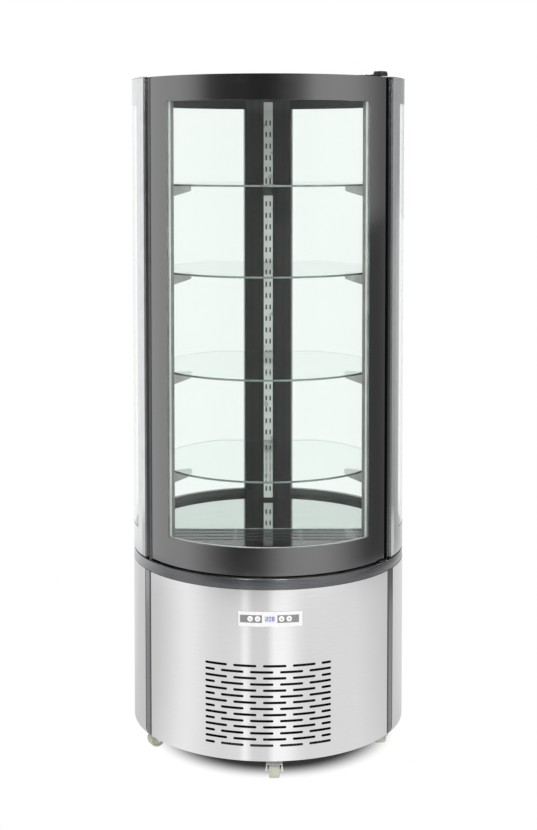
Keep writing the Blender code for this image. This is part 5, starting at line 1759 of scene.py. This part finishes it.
@dataclass
class Stage:
    """Camera, lamps, floor and surroundings, which are not part of the case.

    Rings of brightness list angles in degrees from the front with a grey, for what gloss reflects.
    """

    camera_place: Triple = (0.0, -3.8064, 1.5082)
    camera_tilt: float = 0.0571
    focal_px: float = 1472.9
    frame_px: Pair = (537.0, 830.0)
    centre_px: Pair = (268.2, 240.0)
    sensor_mm: float = 36.0
    floor_size: float = 60.0
    # painted shadow: the floor is grey within the first distance from this centre and plain white beyond the second
    shadow_centre: Triple = (0.012, 0.0, 0.0)
    shadow_reach: Pair = (0.235, 0.322)
    near_centre: Triple = (0.0, -0.183, 0.0)
    near_reach: Pair = (1.97, 2.07)
    ambient: float = 0.62
    far_ring: tuple[Pair, ...] = (
        (-180.0, 1.0), (-70.0, 1.0), (-50.0, 0.5), (-30.0, 0.10), (-6.0, 0.10), (14.0, 0.9), (45.0, 1.0),
        (68.0, 0.5), (90.0, 0.12), (125.0, 0.14), (160.0, 1.0), (180.0, 1.0),
    )
    near_ring: tuple[Pair, ...] = (
        (-180.0, 1.0), (-174.0, 1.0), (-168.0, 0.90), (-160.0, 0.83), (-151.0, 0.75), (-143.0, 0.71),
        (-134.0, 0.64), (-113.0, 0.59), (-101.0, 0.61), (-88.0, 0.72), (-76.0, 0.84), (-69.0, 0.88),
        (-63.0, 0.86), (-50.0, 0.77), (-38.0, 0.73), (-24.0, 0.77), (-19.0, 1.0), (-13.0, 0.70), (-1.0, 0.71),
        (5.0, 1.0), (13.0, 1.0), (19.0, 0.92), (25.0, 0.81), (32.0, 0.74), (76.0, 0.75), (88.0, 0.70),
        (113.0, 0.60), (134.0, 0.69), (151.0, 0.73), (160.0, 0.79), (168.0, 1.0), (180.0, 1.0),
    )
    sky_ring: tuple[Pair, ...] = (
        (-180.0, 1.0), (-84.0, 1.0), (-66.0, 0.75), (-50.0, 0.10), (-16.0, 0.06), (10.0, 0.06), (28.0, 0.35),
        (42.0, 1.0), (80.0, 1.0), (112.0, 0.28), (160.0, 0.30), (176.0, 1.0), (180.0, 1.0),
    )
    lamps: tuple[tuple[str, Triple, Pair, float], ...] = (
        ("top_softbox", (0.3, -0.6, 3.4), (2.4, 2.4), 55.0),
        ("left_softbox", (-1.25, -3.4, 3.0), (0.5, 1.6), 40.0),
        ("right_softbox", (0.75, -3.6, 3.0), (0.5, 1.6), 52.0),
    )
    lamp_target: Triple = (0.0, 0.0, 0.6)

    def build(self) -> None:
        """Build all of it."""
        self.build_camera()
        self.build_floor()
        self.build_world()
        self.build_lamps()

    def build_camera(self) -> None:
        """Set the camera to the photograph's viewpoint. The shift centres the frame on the case."""
        data = bpy.data.cameras.new("photo_camera")
        wide, tall = self.frame_px
        data.sensor_fit, data.sensor_height = "VERTICAL", self.sensor_mm
        data.lens = self.focal_px * self.sensor_mm / tall
        data.shift_x = (wide / 2 - self.centre_px[0]) / tall
        data.shift_y = (self.centre_px[1] - tall / 2) / tall
        data.clip_end = 200.0
        camera = put("photo_camera", data)
        camera.location = self.camera_place
        camera.rotation_euler = (math.pi / 2 - self.camera_tilt, 0.0, 0.0)
        bpy.context.scene.camera = camera

    def start_tree(self, owner: bpy.types.ID) -> Tree:
        """Empty the node tree of a material or a world.

        Args:
            owner: the material or the world.

        Returns:
            Its node tree.
        """
        owner.use_nodes = True
        owner.node_tree.nodes.clear()
        return owner.node_tree

    def ring(self, tree: Tree, vector: Socket, stops: Sequence[Pair], blend: str = "B_SPLINE") -> Socket:
        """Grey that changes round the case.

        Args:
            tree: node tree that takes the nodes.
            vector: place or direction.
            stops: angles in degrees from the front, with their brightness.
            blend: way that the grey runs from stop to stop.

        Returns:
            Colour socket.
        """
        reach = {"From Min": -math.pi, "From Max": math.pi}
        share = add_node(tree, "ShaderNodeMapRange", reach, {"Value": turn_of(tree, vector)})
        node = add_node(tree, "ShaderNodeValToRGB", links={0: share.outputs["Result"]})
        node.color_ramp.interpolation = blend
        elements = node.color_ramp.elements
        while len(elements) < len(stops):
            elements.new(0.5)
        for element, (degrees, grey) in zip(elements, stops):
            element.position = (degrees + 180.0) / 360.0
            element.color = (grey, grey, grey, 1.0)
        return node.outputs["Color"]

    def fade(self, tree: Tree, spot: Socket, centre: Triple, reach: Pair) -> Socket:
        """Share that grows from zero to one with the distance from a centre.

        Args:
            tree: node tree that takes the nodes.
            spot: place on the floor.
            centre: the centre.
            reach: distances at which the share leaves zero and comes to one.

        Returns:
            Value socket.
        """
        offset = add_node(tree, "ShaderNodeVectorMath", {"operation": "SUBTRACT", 1: centre}, {0: spot})
        away = add_node(tree, "ShaderNodeVectorMath", {"operation": "LENGTH"}, {0: offset.outputs["Vector"]})
        settings = {"From Min": reach[0], "From Max": reach[1], "interpolation_type": "SMOOTHSTEP"}
        return add_node(tree, "ShaderNodeMapRange", settings, {"Value": away.outputs["Value"]}).outputs["Result"]

    def show(self, tree: Tree, kind: str, plain: Socket, gloss: Socket) -> None:
        """Show one shader in general, and another to rays that gloss threw back and no glass let through.

        Args:
            tree: node tree of the material or the world.
            kind: type of the output node.
            plain: shader that is seen in general.
            gloss: shader that is seen in gloss.
        """
        rays = add_node(tree, "ShaderNodeLightPath").outputs
        share = add_node(
            tree, "ShaderNodeMath", {"operation": "SUBTRACT", "use_clamp": True},
            {0: rays["Is Glossy Ray"], 1: rays["Is Transmission Ray"]},
        )
        choice = add_node(tree, "ShaderNodeMixShader", links={0: share.outputs[0], 1: plain, 2: gloss})
        add_node(tree, kind, links={"Surface": choice.outputs[0]})

    def build_floor(self) -> None:
        """Build the pale floor. Under the case it is painted a mid grey, painted shade on which the lamps' shadow also
        falls, and it fades to white away from the case; it reflects darker towards the camera.
        """
        material = bpy.data.materials.new("pale_floor")
        tree = self.start_tree(material)
        spot = add_node(tree, "ShaderNodeTexCoord").outputs["Object"]
        # Painted shadow: the grey paint under the case and its fade to white draw the shadow's depth and edge.
        white = self.fade(tree, spot, self.shadow_centre, self.shadow_reach)
        painted_shade = add_node(tree, "ShaderNodeBsdfDiffuse", {"Color": linear("#787878")})
        glow = add_node(tree, "ShaderNodeEmission", {"Strength": 1.0})
        seen = add_node(tree, "ShaderNodeMixShader", links={0: white, 1: painted_shade.outputs[0], 2: glow.outputs[0]})
        shift = {"operation": "SUBTRACT", 1: self.near_centre}
        shifted = add_node(tree, "ShaderNodeVectorMath", shift, {0: spot}).outputs["Vector"]
        dark = add_node(tree, "ShaderNodeMix", {"data_type": "RGBA"}, {
            0: self.fade(tree, spot, (0.0, 0.0, 0.0), self.near_reach),
            6: self.ring(tree, shifted, self.near_ring, "LINEAR"), 7: self.ring(tree, spot, self.far_ring),
        })
        mirror = add_node(tree, "ShaderNodeEmission", links={"Color": dark.outputs[2]})
        self.show(tree, "ShaderNodeOutputMaterial", seen.outputs[0], mirror.outputs[0])
        form = bmesh.new()
        bmesh.ops.create_grid(form, x_segments=1, y_segments=1, size=self.floor_size / 2)
        mesh = bpy.data.meshes.new("floor")
        form.to_mesh(mesh)
        form.free()
        mesh.materials.append(material)
        floor = put("floor", mesh)

    def build_world(self) -> None:
        """Set pale surroundings that are darker where the camera stands, as seen in gloss."""
        world = bpy.data.worlds.new("studio")
        bpy.context.scene.world = world
        tree = self.start_tree(world)
        way = add_node(tree, "ShaderNodeTexCoord").outputs["Generated"]
        white = (1.0, 1.0, 1.0, 1.0)
        plain, light = (
            add_node(tree, "ShaderNodeBackground", {"Color": white, "Strength": power}).outputs[0]
            for power in (1.0, self.ambient)
        )
        ring = self.ring(tree, way, self.sky_ring)
        gloss = add_node(tree, "ShaderNodeBackground", {"Strength": 1.0}, {"Color": ring})
        rays = add_node(tree, "ShaderNodeLightPath").outputs
        seen = add_node(
            tree, "ShaderNodeMath", {"operation": "MAXIMUM"},
            {0: rays["Is Camera Ray"], 1: rays["Is Transmission Ray"]},
        )
        first = add_node(tree, "ShaderNodeMixShader", links={0: seen.outputs[0], 1: light, 2: plain})
        self.show(tree, "ShaderNodeOutputWorld", first.outputs[0], gloss.outputs[0])

    def build_lamps(self) -> None:
        """Hang the softboxes: one over the case, two high in front that streak the steel."""
        for name, place, size, power in self.lamps:
            data = bpy.data.lights.new(name, "AREA")
            data.shape, data.energy = "RECTANGLE", power
            data.size, data.size_y = size
            lamp = put(name, data)
            lamp.location = place
            lamp.rotation_euler = (Vector(self.lamp_target) - Vector(place)).to_track_quat("-Z", "Y").to_euler()


def dress_nodes(finishes: Finishes) -> None:
    """Give the CAD nodes that stay in view their finishes.

    Args:
        finishes: materials of the case.
    """
    # The condenser, evaporator and drip tray take the dark fin colour, painted shade for the space behind the grille.
    for name, finish in {
        "base_plate": finishes.rail, "cabinet_floor": finishes.liner, "compressor": finishes.compressor,
        "condenser": finishes.shaded_fin, "fan_shroud": finishes.black, "condenser_fan": finishes.fan,
        "evaporator": finishes.shaded_fin, "evaporator_fan": finishes.fan, "drip_tray": finishes.shaded_fin,
    }.items():
        for place in frame["nodes"][name].material_slots:
            place.material = finish


def main() -> None:
    """Build the stage and the case, sub-assembly by sub-assembly."""
    logging.basicConfig(level=logging.INFO, format="%(name)s: %(message)s")
    bpy.context.scene.view_settings.view_transform = "Standard"
    Stage().build()
    finishes = Finishes()
    for assembly in (
        Skirt, Collar, Controls, Uprights, SideWindows, Door, Hinges, Shelves, Rails, Deck, Column, Roof, Casters,
    ):
        assembly(finishes).build()
    dress_nodes(finishes)
    for item in bpy.data.objects:  # clear panes cast no shadow
        if item.type == "MESH" and any(m and m.name.startswith("clear_") for m in item.data.materials):
            item.visible_shadow = False


if __name__ == "__main__":
    main()
